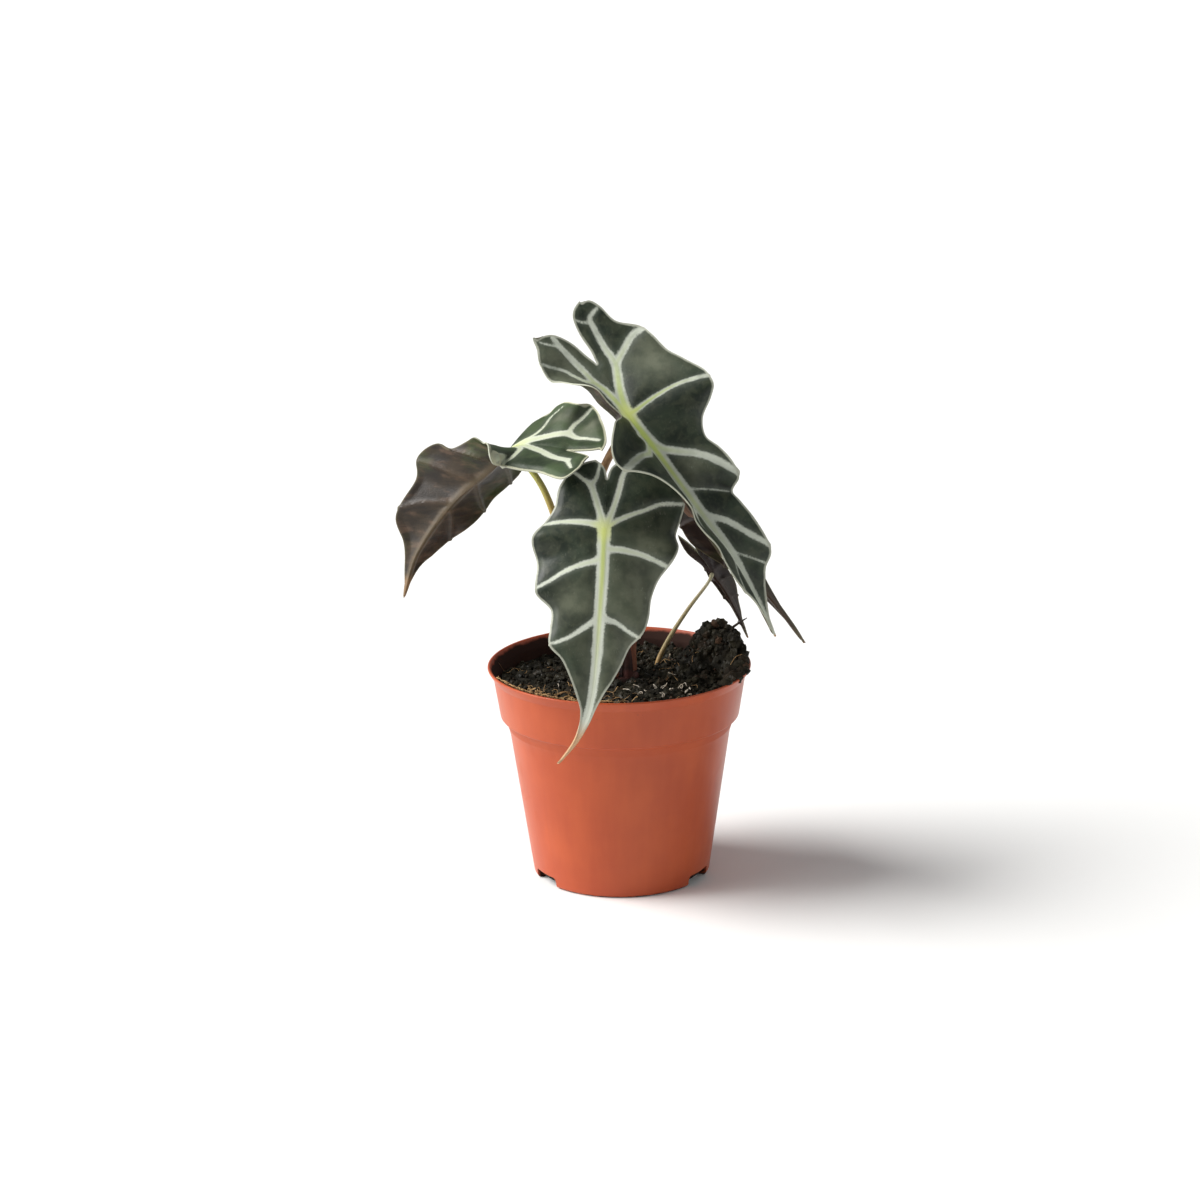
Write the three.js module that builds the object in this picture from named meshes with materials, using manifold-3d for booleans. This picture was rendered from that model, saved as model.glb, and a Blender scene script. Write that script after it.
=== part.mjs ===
// A small alocasia in a plastic nursery pot, as a scene graph of closed solids.
// Millimetres, +Z up. The origin is the centre of the pot's underside.
// X runs to the right and Y runs away from someone who looks at the plant's front.

import * as THREE from 'three';
import { mergeVertices } from 'three/addons/utils/BufferGeometryUtils.js';
import Module from 'manifold-3d';

const wasm = await Module();
wasm.setup();

// Pot
const potHeight = 98.6;
const rimRadius = 60;
const lipThroatRadius = 57.3;
const lipThroatHeight = 93.7;
const collarRadius = 54.4;
const collarHeight = 75.5;
const stepRadius = 50.6;
const stepHeight = 70.5;
const footRadius = 40.4;
const footRounding = 1;
const potWall = 1.4;
const floorThickness = 1.8;
const lipRounding = 0.6;
const potSides = 48;
const notchCount = 3;
const notchWidth = 17;
const notchHeight = 5;
const notchReach = 8;

// Soil
const seatGap = 0.3;
const soilHeight = 91.5;
const soilRings = [6, 12, 18, 24, 30, 36, 41.5, 46.5, 51, 54];
const soilRoughness = 0.7;
const holeHeight = 70;
const soilEdgeDrop = 3;
const soilFootGap = 0.5;
const mounds = [
  // x, y, height, spread
  [45, 16, 17.5, 7],
  [53, 5, 13.5, 5.5],
  [55.5, -2.5, 7.5, 5],
  [37, 20, 4, 5],
  [34, 6, 6, 10],
  [8, -44, 5, 15],
  [-30, -36, 4, 12],
  [-28, 32, -3.5, 16],
  [2, 0, 1.5, 12],
];

// Corm, whose crown stands just out of the soil
const cormRadius = 9.5;
const cormTop = 94;
const cormLength = 34;
const cormSides = 24;
const cormTipRadius = 5.7;
const cormTipHeight = 1.5;
const cormTaper = 9;
const cormShoulder = 1.5;
const budHeight = 15;
const budRadius = 2.6;
const budShoulderHeight = 6;
const budNeckHeight = 12;
const budNeckRadius = 1.4;
const budSeat = 2;
const budSides = 10;
const budPlace = [3.7, -5.3];

// Leaf blades
const bladeThickness = 0.7;
const midribDepth = 1.3;
const midribTipShare = 0.05;
const jointGap = 0.4;
const quilting = 0.9;
const ribSteps = 2;
const stationSamples = 40;
const smallestBend = 1e-4;
const bladeColumns = [0, 0.1, 0.35, 0.65, 1];

// Stalks
const stalkSides = 10;
const stalkSteps = 18;
const stalkApproach = 6;

// Finishes
const finishes = {
  terracotta: { color: 0xc4623f, roughness: 0.5 },
  peat: { color: 0x2e241d, roughness: 0.95 },
  corm: { color: 0x7a3f33, roughness: 0.8 },
  petiole: { color: 0xa98b55, roughness: 0.5 },
  blade: { color: 0x36402f, roughness: 0.4 },
};

// A blade is drawn flat first. Lengths are shares of the leaf's length from the petiole's joint to
// the drip tip: s runs along the midrib, 0 at the joint and 1 at the tip, and t runs out from it.
// Each rib runs from its start beside the midrib to a point on the left and on the right margin.
// Each half rises from the flat at one angle beside the midrib and at another at its margin.
// columns: start s, gap from the midrib line, then for the left and for the right half s, t,
// rise at the midrib, rise at the margin (degrees), and last the fullness between two veins
const topLeafRibs = [
  [-0.465, 0.108, -0.452, 0.111, 0, 0, -0.478, 0.113, 0, 10, 0],
  [-0.455, 0.072, -0.44, 0.138, 0, 0, -0.466, 0.122, 0, 8, 0.2],
  [-0.43, 0.045, -0.399, 0.152, 0, 0, -0.437, 0.137, 0, 15, 0.5],
  [-0.37, 0.022, -0.326, 0.158, 0, 0, -0.383, 0.178, 0, 30, 1],
  [-0.3, 0.012, -0.27, 0.215, 0, 0, -0.293, 0.191, 0, 30, 0],
  [-0.24, 0, -0.231, 0.232, 0, 5, -0.165, 0.19, 0, 75, 0.3],
  [-0.17, 0, -0.169, 0.25, 0, 0, -0.075, 0.22, 0, 128, 0.5],
  [-0.1, 0, -0.111, 0.285, 0, 0, -0.015, 0.215, 2, 138, 0.5],
  [-0.03, 0, -0.025, 0.325, 0, 0, 0.035, 0.18, 15, 135, 0.3],
  [0.02, 0, 0.064, 0.331, 0, 0, 0.06, 0.23, 48, 90, 0],
  [0.06, 0, 0.109, 0.298, 0, -10, 0.12, 0.28, 45, 75, 0.5],
  [0.09, 0, 0.16, 0.235, 0, -25, 0.18, 0.27, 48, 70, 0],
  [0.12, 0, 0.23, 0.2, 0, -25, 0.25, 0.225, 62, 88, 1],
  [0.16, 0, 0.3, 0.21, 0, -10, 0.32, 0.21, 72, 95, 0.5],
  [0.2, 0, 0.38, 0.215, 0, 10, 0.4, 0.21, 78, 95, 0],
  [0.26, 0, 0.43, 0.2, 0, 5, 0.45, 0.2, 72, 92, 0.5],
  [0.31, 0, 0.46, 0.155, 0, -25, 0.5, 0.185, 72, 90, 1],
  [0.37, 0, 0.52, 0.15, 0, -10, 0.56, 0.18, 74, 90, 0.5],
  [0.44, 0, 0.6, 0.148, 0, 0, 0.62, 0.16, 70, 84, 0],
  [0.52, 0, 0.7, 0.135, 0, 5, 0.7, 0.118, 66, 80, 0],
  [0.6, 0, 0.748, 0.087, 0, -5, 0.765, 0.082, 66, 80, 1],
  [0.7, 0, 0.793, 0.062, 5, 0, 0.83, 0.048, 70, 85, 0.5],
  [0.82, 0, 0.86, 0.045, 10, 10, 0.89, 0.026, 75, 88, 0],
  [0.92, 0, 0.94, 0.018, 10, 10, 0.95, 0.012, 75, 85, 0],
  [1, 0, 1, 0, 0, 0, 1, 0, 0, 0, 0],
];

const frontLeafRibs = [
  [-0.3, 0.05, -0.3, 0.05, 0, 0, -0.3, 0.055, 0, 0, 0],
  [-0.27, 0.015, -0.3, 0.12, 0, 0, -0.285, 0.1, 0, 0, 0.5],
  [-0.22, 0, -0.28, 0.21, 0, -10, -0.255, 0.15, 0, -10, 0],
  [-0.17, 0, -0.24, 0.28, 0, -15, -0.21, 0.18, 0, -10, 0],
  [-0.12, 0, -0.18, 0.33, 0, -20, -0.17, 0.2, 0, -15, 0],
  [-0.07, 0, -0.1, 0.33, -5, -30, -0.1, 0.215, 0, -25, 1],
  [-0.02, 0, -0.02, 0.315, -5, -35, -0.03, 0.25, 0, -20, 0.5],
  [0.02, 0, 0.045, 0.315, -5, -20, 0.04, 0.295, 0, -10, 0],
  [0.05, 0, 0.1, 0.295, -5, -15, 0.12, 0.285, 0, -30, 1],
  [0.09, 0, 0.18, 0.25, -5, -35, 0.175, 0.275, 0, -25, 0.5],
  [0.14, 0, 0.27, 0.215, -5, -30, 0.25, 0.272, 0, -10, 0],
  [0.2, 0, 0.36, 0.2, -5, -10, 0.29, 0.262, 0, -10, 0],
  [0.25, 0, 0.42, 0.18, 0, -10, 0.345, 0.205, 5, -25, 1],
  [0.3, 0, 0.48, 0.135, 0, -30, 0.42, 0.2, 5, -20, 0.5],
  [0.36, 0, 0.56, 0.1, 5, -15, 0.495, 0.195, 5, 0, 0],
  [0.43, 0, 0.622, 0.071, 5, 0, 0.546, 0.144, 10, 5, 1],
  [0.52, 0, 0.677, 0.045, 10, 5, 0.614, 0.104, 10, 5, 0.5],
  [0.62, 0, 0.741, 0.026, 10, 10, 0.692, 0.065, 10, 10, 0],
  [0.72, 0, 0.81, 0.019, 10, 10, 0.762, 0.03, 10, 10, 0],
  [0.84, 0, 0.883, 0.012, 10, 10, 0.868, 0.011, 10, 10, 0],
  [1, 0, 1, 0, 0, 0, 1, 0, 0, 0, 0],
];

const sideLeafRibs = [
  [-0.44, 0.04, -0.453, 0.092, 8, 5, -0.464, 0.028, 8, 10, 0],
  [-0.41, 0.025, -0.479, 0.172, 8, 0, -0.435, 0.108, 8, 12, 0.5],
  [-0.36, 0.012, -0.442, 0.248, 6, -8, -0.33, 0.23, 8, 16, 0],
  [-0.29, 0, -0.287, 0.208, 6, -12, -0.177, 0.349, 8, 4, 1],
  [-0.18, 0, -0.177, 0.218, 5, -6, -0.147, 0.294, 10, 18, 0],
  [-0.08, 0, -0.051, 0.207, 10, -8, -0.013, 0.343, 10, 0, 1],
  [0, 0, -0.076, 0.291, 12, 25, 0.004, 0.236, 10, 5, 0],
  [0.08, 0, 0.077, 0.123, 15, 60, 0.18, 0.205, 18, 12, 1],
  [0.12, 0, 0.129, 0.164, 25, 75, 0.24, 0.215, 22, 16, 0.5],
  [0.18, 0, 0.308, 0.189, 26, 58, 0.295, 0.22, 25, 20, 0],
  [0.25, 0, 0.356, 0.251, 34, 45, 0.37, 0.185, 18, 22, 1],
  [0.34, 0, 0.462, 0.273, 33, 49, 0.47, 0.195, 19, 24, 0],
  [0.44, 0, 0.537, 0.213, 40, 45, 0.58, 0.15, 14, 14, 1],
  [0.55, 0, 0.702, 0.18, 28, 32, 0.68, 0.125, 21, 30, 0],
  [0.68, 0, 0.786, 0.08, 32, 38, 0.78, 0.08, 24, 28, 0.5],
  [0.83, 0, 0.897, 0.04, 30, 30, 0.88, 0.04, 30, 30, 0],
  [1, 0, 1, 0, 0, 0, 1, 0, 0, 0, 0],
];

const backLeafRibs = [
  [-0.4, 0.08, -0.4, 0.08, 20, 20, -0.4, 0.08, 30, 30, 0],
  [-0.32, 0.03, -0.34, 0.11, 20, 30, -0.35, 0.13, 30, 40, 0],
  [-0.22, 0, -0.2, 0.12, 25, 35, -0.22, 0.17, 40, 50, 1],
  [-0.1, 0, -0.06, 0.13, 25, 35, -0.06, 0.22, 45, 60, 0],
  [0, 0, 0.08, 0.17, 20, 25, 0.08, 0.2, 50, 50, 1],
  [0.08, 0, 0.19, 0.18, 20, 25, 0.2, 0.22, 50, 65, 0],
  [0.16, 0, 0.28, 0.165, 25, 35, 0.32, 0.17, 50, 50, 1],
  [0.26, 0, 0.4, 0.13, 35, 50, 0.44, 0.18, 50, 65, 0],
  [0.38, 0, 0.5, 0.11, 45, 55, 0.52, 0.107, 50, 50, 1],
  [0.5, 0, 0.62, 0.08, 50, 60, 0.612, 0.056, 50, 60, 0],
  [0.68, 0, 0.755, 0.036, 50, 50, 0.755, 0.018, 50, 50, 0],
  [0.85, 0, 0.88, 0.014, 40, 40, 0.89, 0.012, 40, 40, 0],
  [1, 0, 1, 0, 0, 0, 1, 0, 0, 0, 0],
];

const youngLeafRibs = [
  [-0.42, 0.09, -0.42, 0.09, 10, 10, -0.42, 0.09, 30, 30, 0],
  [-0.32, 0.03, -0.35, 0.13, 10, 15, -0.35, 0.13, 30, 40, 0],
  [-0.22, 0, -0.22, 0.16, 15, 20, -0.22, 0.16, 40, 50, 1],
  [-0.08, 0, -0.079, 0.089, 20, 25, -0.04, 0.2, 45, 60, 0],
  [0.06, 0, 0.049, 0.112, 20, 20, 0.14, 0.18, 50, 50, 1],
  [0.18, 0, 0.249, 0.107, 20, 30, 0.302, 0.183, 50, 65, 0],
  [0.34, 0, 0.382, 0.094, 25, 25, 0.442, 0.111, 50, 50, 1],
  [0.5, 0, 0.533, 0.057, 30, 35, 0.582, 0.073, 50, 60, 0],
  [0.68, 0, 0.714, 0.029, 20, 20, 0.718, 0.029, 30, 30, 0],
  [0.85, 0, 0.86, 0.018, 10, 10, 0.865, 0.018, 15, 15, 0],
  [1, 0, 1, 0, 0, 0, 1, 0, 0, 0, 0],
];

// Each leaf's midrib in space. A station is a point on the midrib and the way the leaf's upper
// side faces there. joint is the number of the station at the petiole.
// columns: x, y, z, upper side x, y, z
const leaves = [
  {
    name: 'leaf_top',
    ribs: topLeafRibs,
    joint: 2,
    spine: [
      [-26, 5, 257, 0, -0.9, 0.45],
      [-9, -3, 239, 0, -0.9, 0.45],
      [5, -22, 219, 0, -0.9, 0.45],
      [19, -32, 199.6, 0, -0.95, 0.3],
      [36, -38, 177, 0, -0.96, 0.25],
      [51, -40, 157, 0, -0.96, 0.25],
      [69, -38, 121.5, 0, -0.98, 0.2],
    ],
    stalk: [[-6.6, 0.6, 0], [-6.6, 0.6, 100], [-9, -8, 150], [-7, -15, 190]],
    stalkRadii: [2.4, 1.7],
  },
  {
    name: 'leaf_front',
    ribs: frontLeafRibs,
    joint: 1,
    spine: [
      [-4, -26, 197, 0, -0.85, 0.5],
      [-6, -42, 172.4, 0, -0.9, 0.45],
      [-8, -56, 144.6, 0, -0.92, 0.4],
      [-12, -68, 107.5, 0, -0.96, 0.3],
      [-18.2, -72, 88.4, 0, -0.98, 0.2],
      [-27.6, -74, 75.9, 0, -0.98, 0.2],
    ],
    stalk: [[-3.3, -5.7, 0], [-3.3, -5.7, 100], [-2, -17, 130], [-3, -28, 158]],
    stalkRadii: [2.4, 1.7],
  },
  {
    name: 'leaf_side',
    ribs: sideLeafRibs,
    joint: 1,
    spine: [
      [-21, -14, 201.2, 0, -0.3, 0.95],
      [-44, 4, 199.6, 0, -0.3, 0.95],
      [-57, 14, 186, -0.23, 0.8, 0.59],
      [-74.6, 22, 169, -0.2, 0.95, 0.2],
      [-91.3, 26, 145, -0.1, 0.97, 0.1],
      [-98.3, 24, 124.4, 0, 0.97, 0],
    ],
    stalk: [[-2.8, 6, 0], [-2.8, 6, 100], [-19.5, 5, 140], [-33, 3, 180]],
    stalkRadii: [2.2, 1.4],
  },
  {
    name: 'leaf_back',
    ribs: backLeafRibs,
    joint: 1,
    spine: [
      [24, -8, 188, 0.1, 0.9, 0.4],
      [34.5, -4, 173, 0.1, 0.9, 0.4],
      [52, 0, 148, 0, 0.95, 0.2],
      [70, 4, 126, 0, 0.97, 0.1],
      [84.7, 6, 105, 0, 0.97, 0.1],
    ],
    stalk: [[5.4, 3.8, 0], [5.4, 3.8, 100], [9, 0, 135], [15, -6, 165], [24, -9, 178]],
    stalkRadii: [2.1, 1.3],
  },
  {
    name: 'leaf_low',
    midribDepth: 0.3,
    columns: [0, 0.4, 1],
    ribs: youngLeafRibs,
    lobeReach: 1.5,
    joint: 1,
    spine: [
      [38, 19, 143, 0.3, 0.9, 0.3],
      [43.5, 20, 135, 0.3, 0.9, 0.3],
      [51.4, 22, 122.2, 0.2, 0.95, 0.2],
      [59.8, 27, 102, 0.2, 0.95, 0.2],
    ],
    stalk: [[17.8, 18.5, 82], [17.8, 18.5, 92], [22.5, 18.5, 103], [32, 17.5, 118.5]],
    stalkRadii: [1.5, 0.8],
  },
];

function solidOf(geometry) {
  const plain = geometry.clone();
  plain.deleteAttribute('normal');
  plain.deleteAttribute('uv');
  const merged = mergeVertices(plain, 1e-3);
  return new wasm.Manifold(new wasm.Mesh({
    numProp: 3,
    vertProperties: new Float32Array(merged.attributes.position.array),
    triVerts: new Uint32Array(merged.index.array),
  }));
}

function geometryOf(solid) {
  const mesh = solid.getMesh();
  const geometry = new THREE.BufferGeometry();
  geometry.setAttribute('position', new THREE.BufferAttribute(mesh.vertProperties, 3));
  geometry.setIndex(new THREE.BufferAttribute(mesh.triVerts, 1));
  return geometry;
}

// A turned body stands on +Z, where a LatheGeometry turns about +Y
function turned(profile, sides) {
  const points = profile.map(([radius, height]) => new THREE.Vector2(radius, height));
  return new THREE.LatheGeometry(points, sides).rotateX(Math.PI / 2);
}

// Smooth values between rows of numbers, by uniform Catmull-Rom
function rowAt(rows, place) {
  const last = rows.length - 1;
  const index = Math.min(Math.floor(place), last - 1);
  const f = place - index;
  const before = rows[Math.max(index - 1, 0)];
  const after = rows[Math.min(index + 2, last)];
  return rows[index].map((a, column) => {
    const b = rows[index + 1][column];
    const slopeA = (b - before[column]) / 2;
    const slopeB = (after[column] - a) / 2;
    return (2 * a - 2 * b + slopeA + slopeB) * f ** 3
      + (3 * b - 3 * a - 2 * slopeA - slopeB) * f ** 2 + slopeA * f + a;
  });
}

function innerRadius(height) {
  const wall = [
    [floorThickness, footRadius - potWall],
    [stepHeight, stepRadius - potWall],
    [collarHeight, collarRadius - potWall],
    [lipThroatHeight, lipThroatRadius - potWall],
    [potHeight, rimRadius - potWall],
  ];
  const above = Math.max(1, wall.findIndex(([level]) => level >= height));
  const [lowLevel, lowRadius] = wall[above - 1];
  const [highLevel, highRadius] = wall[above];
  return lowRadius + (highRadius - lowRadius) * (height - lowLevel) / (highLevel - lowLevel);
}

function potGeometry() {
  const shell = solidOf(turned([
    [0, 0],
    [footRadius - footRounding, 0],
    [footRadius, footRounding],
    [stepRadius, stepHeight],
    [collarRadius, collarHeight],
    [lipThroatRadius, lipThroatHeight],
    [rimRadius, potHeight - lipRounding],
    [rimRadius - lipRounding, potHeight],
    [rimRadius - potWall, potHeight - lipRounding / 2],
    [lipThroatRadius - potWall, lipThroatHeight],
    [collarRadius - potWall, collarHeight],
    [stepRadius - potWall, stepHeight],
    [footRadius - potWall, floorThickness],
    [0, floorThickness],
  ], potSides));
  let pot = shell;
  for (let i = 0; i < notchCount; i += 1) {
    const notch = new THREE.BoxGeometry(notchReach * 2, notchWidth, notchHeight * 2);
    notch.translate(footRadius, 0, 0);
    notch.rotateZ(Math.PI / 2 + i * 2 * Math.PI / notchCount);
    pot = pot.subtract(solidOf(notch));
  }
  return geometryOf(pot);
}

// The soil's surface: level peat with a few mounds and a fine unevenness
function soilLevel(x, y) {
  const unevenness = Math.sin(x * 0.71 + y * 0.33) + Math.sin(y * 0.83 - x * 0.29 + 1.7)
    + 0.6 * Math.sin(x * 1.31 + 2.1) * Math.sin(y * 1.17 + 0.4);
  const heaped = mounds.reduce((sum, [mx, my, height, spread]) => (
    sum + height * Math.exp(-((x - mx) ** 2 + (y - my) ** 2) / (2 * spread ** 2))), 0);
  return soilHeight + heaped + soilRoughness * unevenness;
}

function soilGeometry(holes) {
  const clear = (height) => innerRadius(height) - seatGap;
  const edge = soilHeight - soilEdgeDrop;
  const profile = [
    [0, floorThickness + seatGap],
    [clear(floorThickness) - soilFootGap, floorThickness + seatGap],
    [clear(stepHeight), stepHeight],
    [clear(collarHeight), collarHeight],
    [clear(edge), edge],
    ...soilRings.map((radius) => [radius, soilHeight]).reverse(),
    [0, soilHeight],
  ];
  const body = turned(profile, potSides);
  const place = body.attributes.position;
  for (let i = 0; i < place.count; i += 1) {
    const isSurface = place.getZ(i) > soilHeight - soilEdgeDrop / 2;
    if (isSurface) {
      place.setZ(i, soilLevel(place.getX(i), place.getY(i)));
    }
  }
  return geometryOf(holes.reduce((soil, hole) => soil.subtract(hole), solidOf(body)));
}

function cormGeometry() {
  const bottom = cormTop - cormLength;
  const body = solidOf(turned([
    [0, bottom],
    [cormTipRadius, bottom + cormTipHeight],
    [cormRadius, bottom + cormTaper],
    [cormRadius, cormTop - cormShoulder],
    [cormRadius - cormShoulder, cormTop],
    [0, cormTop],
  ], cormSides));
  const bud = turned([
    [0, -budSeat],
    [budRadius, -budSeat],
    [budRadius, budShoulderHeight],
    [budNeckRadius, budNeckHeight],
    [0, budHeight],
  ], budSides);
  bud.translate(budPlace[0], budPlace[1], cormTop);
  return geometryOf(body.add(solidOf(bud)));
}

// A leaf's midrib as close samples, each with its frame and its place s along the leaf
function midribOf({ spine, joint }) {
  const count = stationSamples * (spine.length - 1);
  const samples = [];
  for (let i = 0; i <= count; i += 1) {
    const row = rowAt(spine, i / stationSamples);
    samples.push({
      at: new THREE.Vector3(row[0], row[1], row[2]),
      up: new THREE.Vector3(row[3], row[4], row[5]),
    });
  }
  let travelled = 0;
  samples.forEach((sample, i) => {
    travelled += i > 0 ? sample.at.distanceTo(samples[i - 1].at) : 0;
    sample.s = travelled;
    const from = samples[Math.max(i - 1, 0)].at;
    const to = samples[Math.min(i + 1, count)].at;
    sample.along = to.clone().sub(from).normalize();
    sample.up.addScaledVector(sample.along, -sample.up.dot(sample.along)).normalize();
  });
  const start = samples[joint * stationSamples].s;
  const length = travelled - start;
  samples.forEach((sample) => {
    sample.s = (sample.s - start) / length;
  });
  return { samples, length };
}

function frameAt({ samples, length }, s) {
  const found = samples.findIndex((sample) => sample.s > s);
  const next = found < 0 ? samples.length - 1 : Math.max(1, found);
  const a = samples[next - 1];
  const b = samples[next];
  const share = Math.min((s - a.s) / (b.s - a.s), 1);
  const inside = Math.max(share, 0);
  const along = a.along.clone().lerp(b.along, inside).normalize();
  const up = a.up.clone().lerp(b.up, inside).normalize();
  const at = a.at.clone().lerp(b.at, inside);
  if (share < 0) {
    at.addScaledVector(along, (s - a.s) * length);
  }
  return { at, along, up };
}

// Where the flat blade's point (s, t) lies in space. A rib curves in an arc from its first rise
// to its last, reached at t = margin, so widths stay true
function bladePoint(midrib, s, t, half, fullness) {
  const { at, along, up } = frameAt(midrib, s);
  const rise = THREE.MathUtils.degToRad(half.rise);
  const turning = THREE.MathUtils.degToRad(half.marginRise) - rise || smallestBend;
  const bend = turning / Math.max(half.margin, smallestBend);
  const outward = new THREE.Vector3().crossVectors(up, along).multiplyScalar(half.side);
  const turn = rise + bend * t;
  const out = (Math.sin(turn) - Math.sin(rise)) / bend * midrib.length;
  const high = (Math.cos(rise) - Math.cos(turn)) / bend * midrib.length;
  const face = outward.clone().multiplyScalar(-Math.sin(turn)).addScaledVector(up, Math.cos(turn));
  return at.addScaledVector(outward, out).addScaledVector(up, high).addScaledVector(face, fullness);
}

// The blade's middle surface: one grid of points for each half, joined along the midrib
function bladeSurface(form) {
  const midrib = midribOf(form);
  const columns = form.columns ?? bladeColumns;
  const steps = (form.ribs.length - 1) * ribSteps;
  const points = [];
  const depths = [];
  const faces = [];
  const addPoint = (point, depth) => {
    points.push(point);
    depths.push(depth);
    return points.length - 1;
  };
  const shared = [];
  for (const side of [1, -1]) {
    const grid = [];
    for (let step = 0; step <= steps; step += 1) {
      const row = rowAt(form.ribs, step / ribSteps);
      const [start, gap] = [row[0], Math.max(row[1], 0)];
      const [endS, endT, rise, marginRise] = side > 0 ? row.slice(2, 6) : row.slice(6, 10);
      const half = { side, rise, marginRise, margin: endT };
      const isPoint = step === 0 || step === steps;
      const onMidrib = gap < 1e-6;
      const line = columns.map((v) => {
        if (isPoint && v > 0) {
          return null;
        }
        if (v === 0 && onMidrib && side < 0) {
          return shared[step];
        }
        const along = isPoint ? 1 : v;
        const flatS = start + (endS - start) * along;
        const s = flatS < 0 ? flatS * (form.lobeReach ?? 1) : flatS;
        const t = gap + (endT - gap) * along;
        const fullness = quilting * row[10] * Math.sin(Math.PI * v);
        const fading = Math.min(1, 1 - start + midribTipShare);
        const depth = v === 0 && onMidrib ? (form.midribDepth ?? midribDepth) * fading : 0;
        return addPoint(bladePoint(midrib, s, t, half, fullness), depth);
      });
      if (side > 0 && onMidrib) {
        shared[step] = line[0];
      }
      grid.push(line.map((index) => index ?? line[0]));
    }
    for (let i = 0; i < grid.length - 1; i += 1) {
      for (let j = 0; j < columns.length - 1; j += 1) {
        const [a, b, c, d] = [grid[i][j], grid[i][j + 1], grid[i + 1][j + 1], grid[i + 1][j]];
        const corners = side > 0 ? [[a, c, b], [a, d, c]] : [[a, b, c], [a, c, d]];
        faces.push(...corners.filter(([p, q, r]) => p !== q && q !== r && r !== p));
      }
    }
  }
  return { points, depths, faces, midrib };
}

// A closed shell about a surface: both faces are split into the same triangles
function shellOf({ points, depths, faces }) {
  const normals = points.map(() => new THREE.Vector3());
  for (const [a, b, c] of faces) {
    const edge = points[b].clone().sub(points[a]);
    const normal = edge.cross(points[c].clone().sub(points[a]));
    [a, b, c].forEach((index) => normals[index].add(normal));
  }
  normals.forEach((normal) => normal.normalize());
  const upper = points.map((point, i) => point.clone().addScaledVector(normals[i], bladeThickness / 2));
  const lower = points.map((point, i) => (
    point.clone().addScaledVector(normals[i], -bladeThickness / 2 - depths[i])));
  const count = points.length;
  const index = [];
  const open = new Map();
  for (const [a, b, c] of faces) {
    index.push(a, b, c, count + a, count + c, count + b);
    for (const [p, q] of [[a, b], [b, c], [c, a]]) {
      if (!open.delete(`${q} ${p}`)) {
        open.set(`${p} ${q}`, [p, q]);
      }
    }
  }
  for (const [p, q] of open.values()) {
    index.push(p, count + p, q, q, count + p, count + q);
  }
  const geometry = new THREE.BufferGeometry();
  const places = [...upper, ...lower].flatMap((point) => point.toArray());
  geometry.setAttribute('position', new THREE.Float32BufferAttribute(places, 3));
  geometry.setIndex(index);
  return geometry;
}

// A stalk is a cylinder bent along its curve. It rises from the crown or the soil and meets the
// underside of its blade squarely
function stalkCurve(form, midrib) {
  const { at, up } = frameAt(midrib, 0);
  const depth = bladeThickness / 2 + (form.midribDepth ?? midribDepth) + jointGap;
  const end = at.clone().addScaledVector(up, -depth);
  const approach = end.clone().addScaledVector(up, -stalkApproach);
  const points = form.stalk.map(([x, y, z]) => new THREE.Vector3(x, y, z || cormTop + seatGap));
  return new THREE.CatmullRomCurve3([...points, approach, end]);
}

function stalkGeometry(form, midrib) {
  const [bottomRadius, topRadius] = form.stalkRadii;
  const steps = stalkSteps;
  const curve = stalkCurve(form, midrib);
  const frames = curve.computeFrenetFrames(steps);
  const geometry = new THREE.CylinderGeometry(topRadius, bottomRadius, 1, stalkSides, steps);
  const place = geometry.attributes.position;
  for (let i = 0; i < place.count; i += 1) {
    const share = place.getY(i) + 0.5;
    const step = Math.round(share * steps);
    const point = curve.getPointAt(Math.min(step / steps, 1));
    point.addScaledVector(frames.normals[step], place.getX(i));
    point.addScaledVector(frames.binormals[step], -place.getZ(i));
    place.setXYZ(i, point.x, point.y, point.z);
  }
  return geometryOf(solidOf(geometry));
}

function finished(name, geometry, finish) {
  const mesh = new THREE.Mesh(geometry, new THREE.MeshStandardMaterial(finishes[finish]));
  mesh.name = name;
  return mesh;
}

// Plain round holes in the soil, one for the corm and one for the low leaf's own stalk
function roundHole(x, y, bottom, radius, sides) {
  const top = bottom + holeHeight;
  return solidOf(turned([[0, bottom], [radius, bottom], [radius, top], [0, top]], sides).translate(x, y, 0));
}

function soilHoles() {
  const lowLeaf = leaves.find(({ name }) => name === 'leaf_low');
  const [x, y, bottom] = lowLeaf.stalk[0];
  return [
    roundHole(0, 0, cormTop - cormLength - seatGap, cormRadius + seatGap, cormSides),
    roundHole(x, y, bottom - seatGap, lowLeaf.stalkRadii[0] + 2 * seatGap, stalkSides),
  ];
}

const plant = new THREE.Group();
plant.add(finished('pot', potGeometry(), 'terracotta'));
plant.add(finished('soil', soilGeometry(soilHoles()), 'peat'));
plant.add(finished('corm', cormGeometry(), 'corm'));
for (const form of leaves) {
  const surface = bladeSurface(form);
  plant.add(finished(form.name, shellOf(surface), 'blade'));
  const stalkName = form.name.replace('leaf', 'stalk');
  plant.add(finished(stalkName, stalkGeometry(form, surface.midrib), 'petiole'));
}

export default plant;
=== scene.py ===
# %% [markdown]
# # A small alocasia in a nursery pot
# The construction comes first: a pot, its soil, a corm, five stalks and five blades, each a plain
# closed solid at its real place. This lesson dresses them. Every new piece stands where its solid
# stands, so nothing has to be fitted afterwards.

# %% Load the construction
import math

import bpy
import numpy as np
from mathutils import Matrix, Vector, noise


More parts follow.
